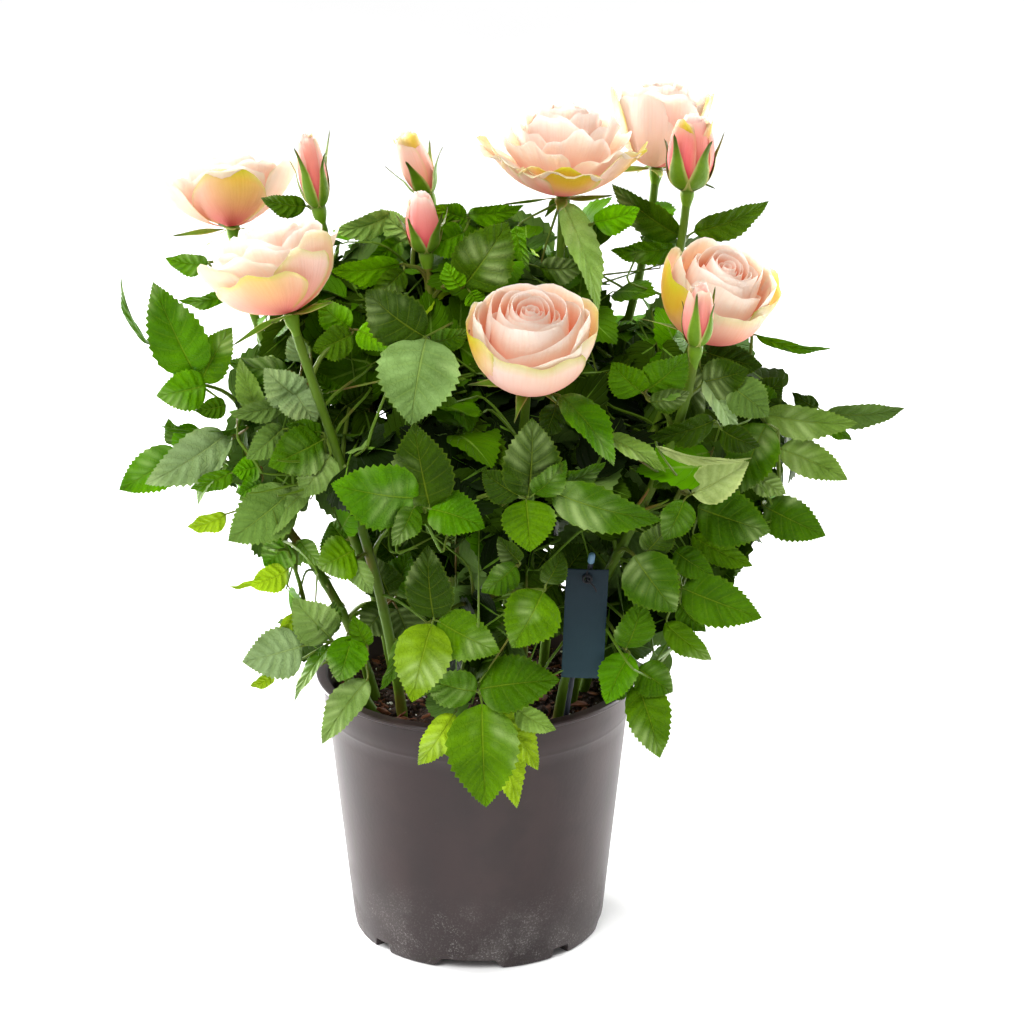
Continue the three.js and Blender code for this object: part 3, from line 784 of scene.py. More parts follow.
class Clearance:
    """Says which grown leaflets would hide a placed leaf, a flower or the label, or leave the crown."""

    def __init__(self, cover, trees):
        ends = np.array([[base, tip] for base, tip, _ in cover])
        self.a, self.a_depth = in_view(ends[:, 0])
        self.b, self.b_depth = in_view(ends[:, 1])
        self.half = np.array([width for *_, width in cover]) / 2 * PIXELS_PER_MM
        self.trees = [tree for tree, _, _ in trees.values()]
        self.flowers = [
            (np.array(f["at"]) + unit(f["axis"]) * f["h"] * 0.5, f["r"] * 1.05, f["h"])
            for f in [*BLOOMS.values(), *BUDS.values()]
        ]

    def within(self, point, slack=7.0):
        """Whether a point lies inside the masses of foliage, or nearly."""
        for tree in self.trees:
            place, normal, _, gap = tree.find_nearest(Vector(point))
            if gap < slack or (Vector(point) - place).dot(normal) < 0:
                return True
        return False

    def holds(self, point):
        """Whether wood may pass here: inside the crown, and not where the light or the label shows."""
        places, ahead = in_view(point)
        if not inside_outline(places, CROWN_OUTLINE)[0] or not self.within(point):
            return False
        if in_label_box(places[0], "twigs") and ahead[0] < LABEL_AHEAD:
            return False
        for centre, radius, height in self.flowers:
            if np.linalg.norm(point - centre) < max(radius, height * 0.55) + 8:
                return False
        return not any(in_oval(places[0], hole) for hole in SKY)

    def allows(self, points):
        """points: base, middle and tip of one leaflet."""
        places, depth = in_view(points)
        if not inside_outline(places[1:], CROWN_OUTLINE).all():
            return False
        ahead = depth[1]
        if any(in_oval(places.T, hole, SKY_MARGIN).any() for hole in SKY):
            return False
        for centre, radius, height in self.flowers:
            if np.linalg.norm(points - centre, axis=1).min() < max(radius, height * 0.55):
                return False
            spot, away = in_view(centre)
            if ahead < away[0] and np.linalg.norm(places - spot, axis=1).min() < radius * 2.1 + 4:
                return False
        if ahead < LABEL_AHEAD and in_label_box(places, "leaves").any():
            return False
        if not (self.within(points[1]) and self.within(points[2])):
            return False
        line = self.b - self.a
        for place, away in zip(places[1:], depth[1:]):
            share = np.clip(((place - self.a) * line).sum(1) / (line**2).sum(1), 0, 1)
            gap = np.linalg.norm(place - (self.a + line * share[:, None]), axis=1)
            level = self.a_depth + (self.b_depth - self.a_depth) * share
            if ((gap < self.half + 9) & (away < level + 4)).any():
                return False
        return True


# ---- Masses of foliage -----------------------------------------------------------------------
def mass_trees():
    """The surface of each mass of foliage, in mm: a search tree, its corners and its triangles."""
    trees = {}
    for name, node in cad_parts.items():
        if not name.startswith("foliage_"):
            continue
        mesh = node.data
        corners = np.empty(len(mesh.vertices) * 3)
        mesh.vertices.foreach_get("co", corners)
        corners = corners.reshape(-1, 3) / MM
        mesh.calc_loop_triangles()
        faces = np.array([t.vertices[:] for t in mesh.loop_triangles])
        trees[name] = (BVHTree.FromPolygons(corners.tolist(), faces.tolist()), corners, faces)
    return trees


def is_inside(tree, point):
    """Whether a point lies inside a closed surface."""
    place, normal, _, _ = tree.find_nearest(Vector(point))
    return (Vector(point) - place).dot(normal) < 0


TRIES_PER_POINT = 6


def surface_points(corners, faces, spacing, rng):
    """Points spread over a surface, about this far apart, with its outward direction at each."""
    a, b, c = (corners[faces[:, k]] for k in range(3))
    cross = np.cross(b - a, c - a)
    area = np.linalg.norm(cross, axis=1) / 2
    count = int(area.sum() / spacing**2 * TRIES_PER_POINT)
    pick = rng.choice(len(faces), count, p=area / area.sum())
    u, v = rng.random((2, count))
    flip = u + v > 1
    u[flip], v[flip] = 1 - u[flip], 1 - v[flip]
    points = a[pick] + (b - a)[pick] * u[:, None] + (c - a)[pick] * v[:, None]
    normals = cross[pick] / (2 * area[pick][:, None] + 1e-9)
    kept = []
    for k in range(count):
        if all(np.linalg.norm(points[k] - points[j]) > spacing for j in kept):
            kept.append(k)
    return points[kept], normals[kept]


LEAF_SPACING = 24.0  # mm between grown leaves
LEAF_SIZES = (30, 43)  # mm, the leaflet at the tip
CORNERS_PER_PIECE = 185000 / 1.9
AIM_TRIES = 5
LONGEST_TWIG = 75  # mm
# Each layer of leaves in a mass: how far out it lies, and which of the points it takes.
LAYERS = [(0.97, 1), (0.66, 2)]
# One compound leaf: where each leaflet leaves the stalk, to which side it swings, and its size.
LEAFLETS = [(1.0, 0, 1.0), (0.70, 1, 0.9), (0.70, -1, 0.9), (0.42, 1, 0.7), (0.42, -1, 0.7)]
# The tints that the outer leaves are dealt, from the deepest to the lightest, with the share of each.
GROWN_TINTS = {"deep": 0.10, "dark": 0.33, "mid": 0.36, "bright": 0.16, "grey": 0.04, "young": 0.01}


class Growth:
    """Compound leaves that grow on twigs from the nearest wood, dealt out by a seeded rule."""

    def __init__(self, wood, twigs, clearance):
        self.wood, self.twigs, self.clearance = wood, twigs, clearance
        self.rng = rng = np.random.default_rng(23)
        self.sheaves = [Sheaf()]
        self.uv = blade_map(PLAIN_ROWS, PLAIN_COLUMNS)
        self.faces = sheet_faces(PLAIN_ROWS, len(PLAIN_COLUMNS))
        self.forms = [
            leaflet(
                1.0, rng.uniform(0.64, 0.78), PLAIN_ROWS, PLAIN_COLUMNS, fold=rng.uniform(0.05, 0.5),
                curl=rng.uniform(0.1, 0.9), wave=0.025, relief=0.012, seed=rng.random(), teeth=1.1,
                twist=rng.normal(0, 0.3),
            )
            for _ in range(14)
        ]

    def slots(self, tint):
        """The material slot of each face of a leaflet: midrib, underside, or the tint of its top."""
        half, strips = len(self.faces) // 2, len(PLAIN_COLUMNS) - 1
        ribs = [k % strips == strips // 2 and k < half for k in range(len(self.faces))]
        return [0 if rib else (tint + 2 if k < half else 1) for k, rib in enumerate(ribs)]

    def tint_at(self, spot, open_side):
        """The number of a leaf's tint, which paints light and shade: darker deep inside the crown and in its
        shade, lighter at its top, where light falls.
        """
        rng, shares = self.rng, list(GROWN_TINTS.values())
        # painted shade: leaves off the open side mostly take the deep tint, and only leaves well inside the
        # crown may take it
        tint = rng.choice(len(shares), p=shares) if open_side else int(rng.random() < 0.22)
        tint = max(tint, int(not well_inside(spot)))
        # painted light: leaves at the top of the view take the next lighter tint
        if spot[1] < LIT_ABOVE and tint < 3:
            tint += 1
        # painted shade: leaves in the shade ovals take the deep or dark tint
        if any(in_oval(spot, oval) for oval in SHADE):
            tint = min(tint, int(rng.random() < 0.5))
        return tint

    def aim(self, point, normal, reach):
        """The foot of a leaf's stalk, its direction and the way it faces, or None where nothing fits."""
        outward = unit(point * [1, 1, 0.35] - [5, 5, 60])
        for _ in range(AIM_TRIES):
            tangent = unit(np.cross(normal, self.rng.normal(0, 1, 3)))
            sag = [0, 0, self.rng.normal(-0.05, 0.3)]
            along = unit(normal * 0.45 + outward * 0.55 + tangent * 0.75 + sag)
            facing = unit(normal * 0.8 + outward * 0.3 + np.array([0, 0, 0.75]) + self.rng.normal(0, 0.22, 3))
            base = point - along * reach
            if abs(np.dot(along, facing)) < 0.93 and self.clearance.holds(base):
                return base, along, facing
        return None

    def grow(self, point, normal, open_side):
        """Grows one compound leaf about a point, unless the crown is thin or full there."""
        rng = self.rng
        spot = in_view(point)[0][0]
        if any(in_oval(spot, oval) and rng.random() > kept for *oval, kept in THIN):
            return
        size = rng.uniform(*LEAF_SIZES)
        stalk = size * 1.3
        aimed = self.aim(point, normal, stalk + size * 0.55)
        if not aimed:
            return
        base, along, facing = aimed
        turn = basis(along, facing)
        reach = np.linalg.norm((self.wood - base) + [0, 0, 8], axis=1)
        if reach.min() > LONGEST_TWIG:
            return
        source = self.wood[np.argmin(reach)]
        slots = self.slots(self.tint_at(spot, open_side))
        reached = 0.0
        red = int(rng.random() < 0.15)
        for at, side, scale in LEAFLETS:
            swing = side * rng.uniform(0.8, 1.2) + rng.normal(0, 0.08)
            drop = rng.normal(0.1, 0.2)
            level = math.cos(drop)
            way = turn @ np.array([math.cos(swing) * level, math.sin(swing) * level, -math.sin(drop)])
            face = turn @ np.array([0.1, rng.normal(-0.25 * side, 0.2), 1.0])
            length = size * scale * rng.uniform(0.9, 1.08)
            start = base + along * stalk * at + way * 2
            if not self.clearance.allows(np.array([start, start + way * length / 2, start + way * length])):
                continue
            form = self.forms[rng.integers(len(self.forms))] * length
            if self.sheaves[-1].count > CORNERS_PER_PIECE:
                self.sheaves.append(Sheaf())
            corners = sheet_corners(form, PLAIN_THICKNESS) @ basis(way, face).T + start
            self.sheaves[-1].lay(corners, self.faces, slots, self.uv)
            reached = max(reached, at)
            leaving = base + along * stalk * at - along * 0.5
            tube(self.twigs, [leaving, start + way * 1.0], [0.42, 0.36], 4, red)
        if reached:
            far = along * stalk * reached
            tube(self.twigs, [base, base + far * 0.5, base + far], [0.6, 0.5, 0.4], 5, red)
            gap = np.linalg.norm(base - source)
            out = unit(base - source)
            bow = source + out * gap * 0.3 + [0, 0, gap * 0.12]
            path = bezier(source, bow, base - along * gap * 0.25, base, 6)
            tube(self.twigs, path, np.linspace(0.9, 0.6, 6), 5, 0)

    def fill(self, trees):
        """Grows leaves over each mass and a thinner layer inside it."""
        for name in sorted(trees):
            _, corners, triangles = trees[name]
            points, normals = surface_points(corners, triangles, LEAF_SPACING, self.rng)
            others = [trees[other][0] for other in trees if other != name]
            middle = (corners.max(0) + corners.min(0)) / 2
            for share, every in LAYERS:
                for point, normal in zip(points[::every], normals[::every]):
                    point = middle + (point - middle) * share
                    outermost = share == LAYERS[0][0]
                    buried = any(is_inside(other, point + normal * 4) for other in others)
                    if not (outermost and buried and self.rng.random() < 0.7):
                        self.grow(point, normal, outermost and not buried)

    def pieces(self):
        materials = [leaf_finish("leaf_midrib", MIDRIB, 0.5), leaf_finish("leaf_underside", UNDERSIDE, 0.6)]
        materials += [leaf_finish("leaf_" + tint, LEAF_TINTS[tint]) for tint in GROWN_TINTS]
        return [sheaf.piece("leaves_%d" % (k + 1), materials) for k, sheaf in enumerate(self.sheaves)]


# ---- Canes and twigs -------------------------------------------------------------------------
def stem_finish(name, green, red, bias):
    """Smooth green bark that turns reddish brown in places."""
    bark = Finish(name, Specular_IOR_Level=0.15)
    blush = bark.noise(45.0, 2.0, (1, 1, 0.35)).step(bias - 0.12, bias + 0.14)
    fleck = bark.noise(700.0, 2.0, (1, 1, 0.25))
    colour = bark.mix(blush, green, red)
    bark.set(Base_Color=bark.mix(fleck * 0.35, colour, bark.mix(0.5, colour, tone(130, 146, 60))))
    bark.set(Roughness=0.25 * fleck + 0.35, Normal=bark.bump(fleck, 0.0004, 0.6))
    return bark.material


BARE_FRONTS = ("foliage_left", "foliage_low_left")  # masses whose front no shoot crosses
SHOOTS_PER_MASS = 6


def limb_wood(trees):
    """Points along every cane, and along the shoots that branch from them into the masses."""
    paths = [cane_path(c) for c in [*BLOOMS.values(), *BUDS.values(), *LEAFY_CANES]]
    rng = np.random.default_rng(31)
    limbs = np.concatenate([p[6:] for p in paths])
    shoots = []
    for name in sorted(trees):
        corners = trees[name][1]
        low, high = corners.min(0), corners.max(0)
        middle, half = (low + high) / 2, (high - low) / 2
        for _ in range(SHOOTS_PER_MASS):
            way = unit(rng.normal(0, 1, 3) * half + (middle - [0, 0, 200]) * [0.4, 0.4, 0.15])
            end = middle + way * half * rng.uniform(0.35, 0.62)
            reach = np.linalg.norm((limbs - end) * [1, 1, 0.8] + [0, 0, 30], axis=1)
            start = limbs[np.argmin(reach)]
            rise = np.array([0, 0, 0.35 * np.linalg.norm(end - start)])
            shoot = bezier(start, start + rise, end - (end - start) * 0.3, end, 12)
            bare = name in BARE_FRONTS and end[1] < middle[1]
            if not bare and all(in_crown(point, 1.3) and not before_label(point) for point in shoot[3:]):
                shoots.append(shoot)
    return paths, shoots


CANE_STEPS, CANE_NODES, PRICKLES_PER_CANE = 64, 9, 7


def add_canes(paths, shoots, sheaf):
    """The canes with their taper, swollen nodes and prickles, and the shoots that leave them."""
    rng = np.random.default_rng(41)
    share = np.linspace(0, 1, CANE_STEPS)
    for path in paths:
        fine = np.column_stack([np.interp(share, np.linspace(0, 1, len(path)), path[:, k]) for k in range(3)])
        swollen = 0.32 * np.exp(-(((share * CANE_NODES + rng.random()) % 1 - 0.5) / 0.09) ** 2)
        tube(sheaf, fine, 2.75 - 0.5 * share**0.8 + swollen, 12, 0)
        for _ in range(PRICKLES_PER_CANE):
            k = rng.integers(6, 50)
            way = unit(np.append(rng.normal(0, 1, 2), -0.25))
            start = fine[k] + way * 2.0
            prickle = [start, start + way * 2.6 + [0, 0, -0.4], start + way * 4.6 + [0, 0, -1.6]]
            tube(sheaf, prickle, [1.2, 0.55, 0.08], 5, 1)
    for path in shoots:
        tube(sheaf, path, np.linspace(1.6, 0.4, len(path)), 7, 0)


# ---- Blooms ----------------------------------------------------------------------------------
CREAM, WHITE, PEACH = tone(242, 208, 180), tone(239, 223, 206), tone(244, 178, 134)
CORAL, PINK, ROSE = tone(238, 98, 44), tone(244, 150, 138), tone(214, 58, 80)
LIME, OCHRE = tone(184, 180, 30), tone(230, 170, 56)

# How the petals change from the heart (first value) to the outermost (last value), evenly between:
# the radius of the rim and of the belly, the height, half the angle a petal wraps, the roll of its rim.
# foot is how broad the bloom is at its foot, point how far the petals' corners fold out, tilt how far
# one side of the rim falls, and swell how much wider the belly of a listed outer petal is than its rim.
CUP = dict(
    count=17, foot=0.72, point=0.0, tilt=0.2,
    rim=(0.05, 0.14, 0.25, 0.36, 0.48, 0.60, 0.74, 0.88),
    belly=(0.14, 0.26, 0.38, 0.50, 0.63, 0.76, 0.88, 0.96),
    top=(0.90, 0.93, 0.96, 0.98, 0.99, 0.97, 0.92, 0.84),
    wrap=(180, 165, 150, 132, 112, 96, 84, 76),
    roll=(0, 0, 0.01, 0.02, 0.03, 0.05, 0.08, 0.12),
)
GOBLET = dict(
    count=21, foot=0.34, point=0.6, tilt=0.16,
    rim=(0.06, 0.18, 0.32, 0.47, 0.62, 0.77, 0.90, 1.0),
    belly=(0.12, 0.24, 0.36, 0.48, 0.60, 0.70, 0.80, 0.88),
    top=(0.96, 1.0, 1.0, 0.98, 0.94, 0.89, 0.83, 0.76),
    wrap=(160, 120, 96, 84, 74, 66, 60, 54),
    roll=(0, 0.01, 0.03, 0.05, 0.08, 0.11, 0.14, 0.18),
)
ROSETTE = dict(
    count=30, foot=0.42, swell=-0.06, point=0.85, tilt=0.0,
    rim=(0.06, 0.16, 0.28, 0.42, 0.58, 0.74, 0.88, 0.96),
    belly=(0.12, 0.22, 0.32, 0.42, 0.52, 0.60, 0.66, 0.68),
    top=(0.98, 1.0, 1.0, 0.98, 0.92, 0.82, 0.66, 0.46),
    wrap=(150, 104, 76, 62, 54, 48, 44, 44),
    roll=(0, 0.02, 0.05, 0.08, 0.12, 0.16, 0.22, 0.30),
)
HALF_OPEN = dict(
    count=14, foot=0.6, point=0.3, tilt=0.1,
    rim=(0.08, 0.22, 0.40, 0.60, 0.84),
    belly=(0.2, 0.40, 0.62, 0.82, 0.98),
    top=(0.93, 0.97, 1.0, 0.98, 0.92),
    wrap=(150, 110, 90, 76, 66),
    roll=(0, 0.02, 0.06, 0.12, 0.18),
)
SHUT = dict(
    count=8, foot=0.66, point=0.1, tilt=0.12,
    rim=(0.06, 0.16, 0.28, 0.42),
    belly=(0.5, 0.7, 0.85, 0.98),
    top=(0.99, 1.0, 0.98, 0.93),
    wrap=(150, 120, 100, 84),
    roll=(0, 0.02, 0.05, 0.12),
)
FORM_KEYS = ("rim", "belly", "top", "wrap", "roll")
PETAL_ROWS, PETAL_COLUMNS = 15, 15
PETAL_THICKNESS, SEPAL_THICKNESS = 0.32, 0.45
GOLDEN_ANGLE = 2.399


def petal_profile(rise, radius, height, rim, belly, top, foot):
    """The line of a petal from its foot to its rim: distance from the axis, and height."""
    corners = [
        (0.07 * radius, 0),
        (foot * belly * radius, 0.01 * height),
        (1.14 * belly * radius, 0.46 * top * height),
        (rim * radius, top * height),
    ]
    parts = ((1 - rise) ** 3, 3 * (1 - rise) ** 2 * rise, 3 * (1 - rise) * rise**2, rise**3)
    return [sum(p * c[k] for p, c in zip(parts, corners)) for k in range(2)]


def petal(radius, height, rim, belly, top, wrap, roll, theta, rng, lean, foot, point, tilt, arch=0.0):
    """One petal as a grid of places round the bloom's axis: rows from base to rim."""
    v = np.linspace(0, 1, PETAL_ROWS)[:, None]
    u = np.linspace(-1, 1, PETAL_COLUMNS)[None, :]
    loose = np.clip(rim * 1.5 - 0.15, 0, 1)
    slope = tilt * loose * np.clip(0.15 + u * lean, 0, 1) ** 1.2 + arch * u * u
    rounding = 0.03 + (0.06 + 0.10 * point) * rng.uniform(0.7, 1.3) * loose
    fall = slope + rounding * np.abs(u) ** (4.5 - 2.2 * point)
    peak = point * rng.uniform(0.02, 0.08) * loose
    rise = v * (1 - fall - peak + peak * np.exp(-((u / 0.22) ** 2)))
    even, _ = petal_profile(v * (1 - slope), radius, height, rim, belly, top, foot)
    r, z = petal_profile(rise, radius, height, rim, belly, top, foot)
    r = r * point + even * (1 - point)
    lip = np.clip((rise - 0.66) / 0.34, 0, 1) ** 1.8
    corner = (1 - point) * (1 - 0.7 * u**2) + point * (0.5 + 1.1 * np.abs(u) ** 2.2)
    r = r + roll * radius * lip * corner
    z = z - roll * 0.6 * radius * lip**1.5 * corner
    wave = rng.random()
    ragged = 1 + 1.6 * point
    r = r + (0.003 + 0.020 * loose) * ragged * radius * np.sin(2 * np.pi * (1.1 * u + wave)) * rise**3
    z = z + (0.003 + 0.018 * loose) * ragged * height * np.sin(2 * np.pi * (1.5 * u + wave * 3)) * rise**4
    r = r * (1 + 0.055 * u * (0.3 + 0.7 * rise)) * (1 - 0.07 * (1 - point) * np.abs(u) ** 3)
    narrowed = 0.10 * np.clip((v - 0.8) / 0.2, 0, 1) ** 2
    wide = 0.30 + 0.70 * np.sin(np.pi / 2 * np.minimum(1, v / 0.66)) - narrowed
    angle = theta + math.radians(wrap) * u * wide
    return np.stack([r * np.cos(angle), r * np.sin(angle), z + 0 * u], -1), u + 0 * v, v + 0 * u


def petal_colours(u, v, share, outside, warm, edge, crest, blush, lean, shut):
    """Colour of a petal: warm in the depth, partly its own colour and partly painted shade; white at the rim,
    partly a painted highlight; pink at the foot, lime on an outer edge.
    """

    def over(base, new, amount):
        return base + (np.array(new) - base) * np.clip(amount, 0, 1)[..., None]

    low = 1 - v
    near_rim = np.clip(low * (1 + 4 * (1 - share) ** 2), 0, 1)
    colour = np.broadcast_to(np.array(CREAM), (*u.shape, 4))
    colour = over(colour, WHITE, 1.5 - 2.0 * near_rim)
    aside = np.clip(0.5 + 0.5 * u * lean, 0, 1)
    if outside:
        # the outer face turns peach and coral below the rim, sooner on the inner petals: partly the petal's
        # own colour, partly painted shade between the petals
        colour = over(colour, PEACH, warm * (0.3 + 0.7 * aside) * near_rim**0.8)
        colour = over(colour, CORAL, warm * (0.5 * (1 - share) + aside**1.6) * near_rim**1.1)
        if shut:
            colour = over(colour, CORAL, 0.35 * warm * (0.4 + 0.6 * aside))
        colour = over(colour, PINK, (0.06 + blush) * low ** (0.3 if shut else 0.6))
        colour = over(colour, ROSE, (0.05 + 0.9 * blush) * low ** (0.7 if shut else 1.3))
    else:
        # the inner face turns peach, then coral, towards its foot: partly the petal's own warmer foot, partly
        # painted shade in the depth of the bloom
        depth = np.clip(low / (0.16 + 0.5 * share), 0, 1)
        colour = over(colour, PEACH, depth**0.6)
        colour = over(colour, CORAL, warm * (1 - 0.4 * share) * depth**1.1)
    # deeper coral in the heart: partly the flower's own colour, partly painted shade between the innermost
    # petals
    heart_coral_and_shade = np.clip(1 - share / 0.45, 0, 1) * (0 if shut else 1)
    colour = over(colour, CORAL, 0.34 * warm * heart_coral_and_shade * np.clip(low / 0.12, 0.25, 1))
    # a whiter rim: partly the petal's paler edge, partly a painted highlight
    pale_rim_and_highlight = (0.3 if shut else 0.9) * np.clip((v - 0.92) / 0.05, 0, 1) * (1 - np.clip(crest, 0, 1))
    colour = over(colour, WHITE, pale_rim_and_highlight)
    crown = np.exp(-((u - 0.25 * lean) / 0.6) ** 2) * np.clip((v - 0.3) / 0.55, 0, 1)
    margin = np.clip((v - 0.86) / 0.14, 0, 1) + np.clip((np.abs(u) - 0.84) / 0.16, 0, 1) * (v > 0.3)
    colour = over(colour, OCHRE, crest * crown * (1.0 if outside else 0.5))
    return over(colour, LIME, (0.4 if outside else 0.25) * crest * crown**2 + 0.7 * edge * margin)


def upright(flower):
    """Columns that stand a flower built along +Z on its own axis."""
    axis = unit(flower["axis"])
    return basis(np.cross([0, 1, 0.02], axis), axis)


def lay_petals(sheaf, flower, plan, rng, spin=0.0, heart=0.8, blush=0.3, lime=1.0, outer=(), shut=False):
    """Lays the petals of one flower in a spiral round its axis, from the heart outwards."""
    faces = turned_over(sheet_faces(PETAL_ROWS, PETAL_COLUMNS))
    last = plan["count"] - 1
    laid = []
    for k in range(plan["count"]):
        share = k / last
        form = [np.interp(share, np.linspace(0, 1, len(plan[key])), plan[key]) for key in FORM_KEYS]
        form[-1] *= rng.uniform(0.5, 1.5)
        outermost = np.clip(share * 4 - 3, 0, 1)
        lean = rng.choice([-1, 1]) * rng.uniform(0.7, 1.0)
        warm = heart * (rng.choice([0.3, 1.0]) if share > 0.35 else 1.0)
        theta = spin + (last - k) * GOLDEN_ANGLE + rng.normal(0, 0.08)
        edge = lime * outermost * rng.uniform(0.3, 1.0)
        crest = 0.5 * lime * outermost * rng.uniform(0, 1)
        pink = blush * rng.uniform(0.5, 1.3)
        laid.append((share, theta, form, edge, crest, pink, warm, lean, plan["tilt"], 0.0))
    for theta, rim, top, wrap, roll, edge, crest, pink, warm, tilt, arch in outer:
        lean = 1 if tilt >= 0 else -1
        form = [rim, rim + plan.get("swell", 0.05), top, wrap, roll]
        laid.append((1.0, theta, form, edge, crest, pink, warm, lean, abs(tilt), arch))
    for share, theta, form, edge, crest, pink, warm, lean, tilt, arch in laid:
        radius = flower["r"] * (1 + rng.normal(0, 0.015))
        height = flower["h"] * (1 + rng.normal(0, 0.015))
        grid, u, v = petal(radius, height, *form, theta, rng, lean, plan["foot"], plan["point"], tilt, arch)
        inner = petal_colours(u, v, share, False, heart, edge, crest, pink, lean, shut)
        face = petal_colours(u, v, share, True, warm, edge, crest, pink, lean, shut)
        tint = np.concatenate([face.reshape(-1, 4), inner[1:-1, 1:-1].reshape(-1, 4)])
        tint[:, 3] = 1
        uv = spread(np.stack([v, 0.5 + 0.5 * u], -1))
        corners = sheet_corners(grid, -PETAL_THICKNESS) @ upright(flower).T + flower["at"]
        sheaf.lay(corners, faces, 0, uv, tint)


SEPALS = 5
# The swollen hip under a flower: distance from the flower's foot along its axis, and radius.
HIP = np.array([(-12, 1.9), (-9, 2.3), (-7, 2.9), (-5, 3.5), (-3, 3.8), (-1, 3.7), (0.5, 3.2), (1.6, 2.2)])


def clasping_line(flower, reach, clasp, lean, curl, foot):
    """The line of a sepal that hugs the bud for a share of its height, then stands off."""
    held = np.linspace(0, 1, 8)
    r, z = petal_profile(held * 0.78, flower["r"], flower["h"], 0.42, 1.0, 0.92, foot)
    r, z = r + 0.7, z - 0.6
    r[0], z[0] = 2.2, -1.0
    run = np.concatenate([[0], np.cumsum(np.hypot(np.diff(r), np.diff(z)))])
    free = np.maximum(reach - clasp * run[-1], 0)
    hug = np.minimum(reach, clasp * run[-1])
    bend = lean + 0.012 * free * curl
    return np.interp(hug, run, r) + free * np.sin(bend), np.interp(hug, run, z) + free * np.cos(bend)


def lay_sepals(sheaf, flower, rng, length, flare, width=3.4, clasp=None, spin=0.0, foot=0.72):
    """Green sepals with drawn-out tips, and the swollen hip that they grow from."""
    rows, columns = 17, 5
    s = np.linspace(0, 1, rows)
    t = np.linspace(-1, 1, columns)
    up = np.array([0, 0, 1])
    for k in range(SEPALS):
        theta = spin + k * 2 * np.pi / SEPALS + rng.normal(0, 0.12)
        size = length * rng.uniform(0.8, 1.15)
        lean = flare * rng.uniform(0.75, 1.25) if clasp else flare + rng.normal(0, 0.1)
        roll = 0 * s
        if clasp:
            r, z = clasping_line(flower, s * size, clasp, lean, rng.uniform(-1, 1.5), foot)
        else:
            pitch = math.pi / 2 - lean - 0.4 * np.sin(2.5 * s * rng.uniform(0.6, 1.2)) * rng.uniform(-0.6, 1)
            r = 2.2 + np.cumsum(np.cos(pitch)) * size / rows
            z = -1.2 + np.cumsum(np.sin(pitch)) * size / rows
            roll = s * rng.choice([-1, 1]) * rng.uniform(0.8, 1.5)
        broad = width / 2 * (np.where(s < 0.25, 0.7 + 1.2 * s, np.exp(-(((s - 0.25) / 0.42) ** 2))) + 0.12)
        broad[-1] = 0.12
        side = np.array([-math.sin(theta), math.cos(theta), 0])
        ray = np.array([math.cos(theta), math.sin(theta), 0])
        over = np.cos(roll)[:, None] * side + np.sin(roll)[:, None] * up
        grid = np.empty((rows, columns, 3))
        for j, across in enumerate(t):
            cup = -0.30 * across * across * broad
            grid[:, j] = ray * (r + cup)[:, None] + over * (broad * across)[:, None] + up * z[:, None]
        corners = sheet_corners(grid, -SEPAL_THICKNESS) @ upright(flower).T + flower["at"]
        sheaf.lay(corners, turned_over(sheet_faces(rows, columns)), 1, blade_map(rows, t))
    tube(sheaf, flower["at"] + HIP[:, :1] * unit(flower["axis"]), HIP[:, 1], 14, 1)


def petal_finish():
    """Soft petals that let a little light through, with fine veins from foot to rim, and painted light: they
    faintly emit their own colour, which lifts their shade.
    """
    flower = Finish(
        "petals", Specular_IOR_Level=0.12, Subsurface_Weight=0.4, Subsurface_Scale=0.006,
        Emission_Strength=0.18,
    )
    flower.shader.inputs["Subsurface Radius"].default_value = (1.0, 0.6, 0.4)
    mapped = flower.node("ShaderNodeUVMap", {"uv_map": "blade"})
    streaks = flower.node("ShaderNodeMapping", inputs={"Vector": mapped, "Scale": (1.2, 14.0, 1.0)})
    inputs = {"Vector": streaks, "Scale": 2.2, "Detail": 4.0}
    vein = flower.node("ShaderNodeTexNoise", inputs=inputs, output="Fac")
    tint = flower.own("tint")
    deeper = flower.mix(1.0, tint, tone(252, 230, 220), "MULTIPLY")
    colour = flower.mix(vein.step(0.45, 0.75) * 0.35, tint, deeper)
    # painted light: the petals emit their own colour faintly, lifting them where they lie in shade
    flower.set(Base_Color=flower.mix(1.0, colour, tone(238, 238, 238), "MULTIPLY"), Emission_Color=colour)
    flower.set(Roughness=0.5 + 0.18 * vein, Normal=flower.bump(vein + 0.3 * flower.noise(800.0), 0.0004, 0.5))
    return flower.material


def sepal_finish():
    """Green sepals with a pale margin and a dry tip."""
    green = Finish("sepals", Specular_IOR_Level=0.2)
    along, across = green.along_and_across()
    tip = along.step(0.6, 1.0)
    margin = ((across - 0.5).math("ABSOLUTE") * 2.0).step(0.6, 1.0)
    mottle = green.noise(300.0, 3.0)
    base = green.mix(mottle * 0.6, tone(104, 140, 20), tone(62, 100, 12))
    base = green.mix(margin * 0.6, base, tone(206, 190, 120))
    green.set(Base_Color=green.mix(tip * 0.7, base, tone(46, 44, 26)), Roughness=0.3 * mottle + 0.38)
    green.set(Normal=green.bump(green.noise(900.0), 0.0003, 0.6))
    return green.material
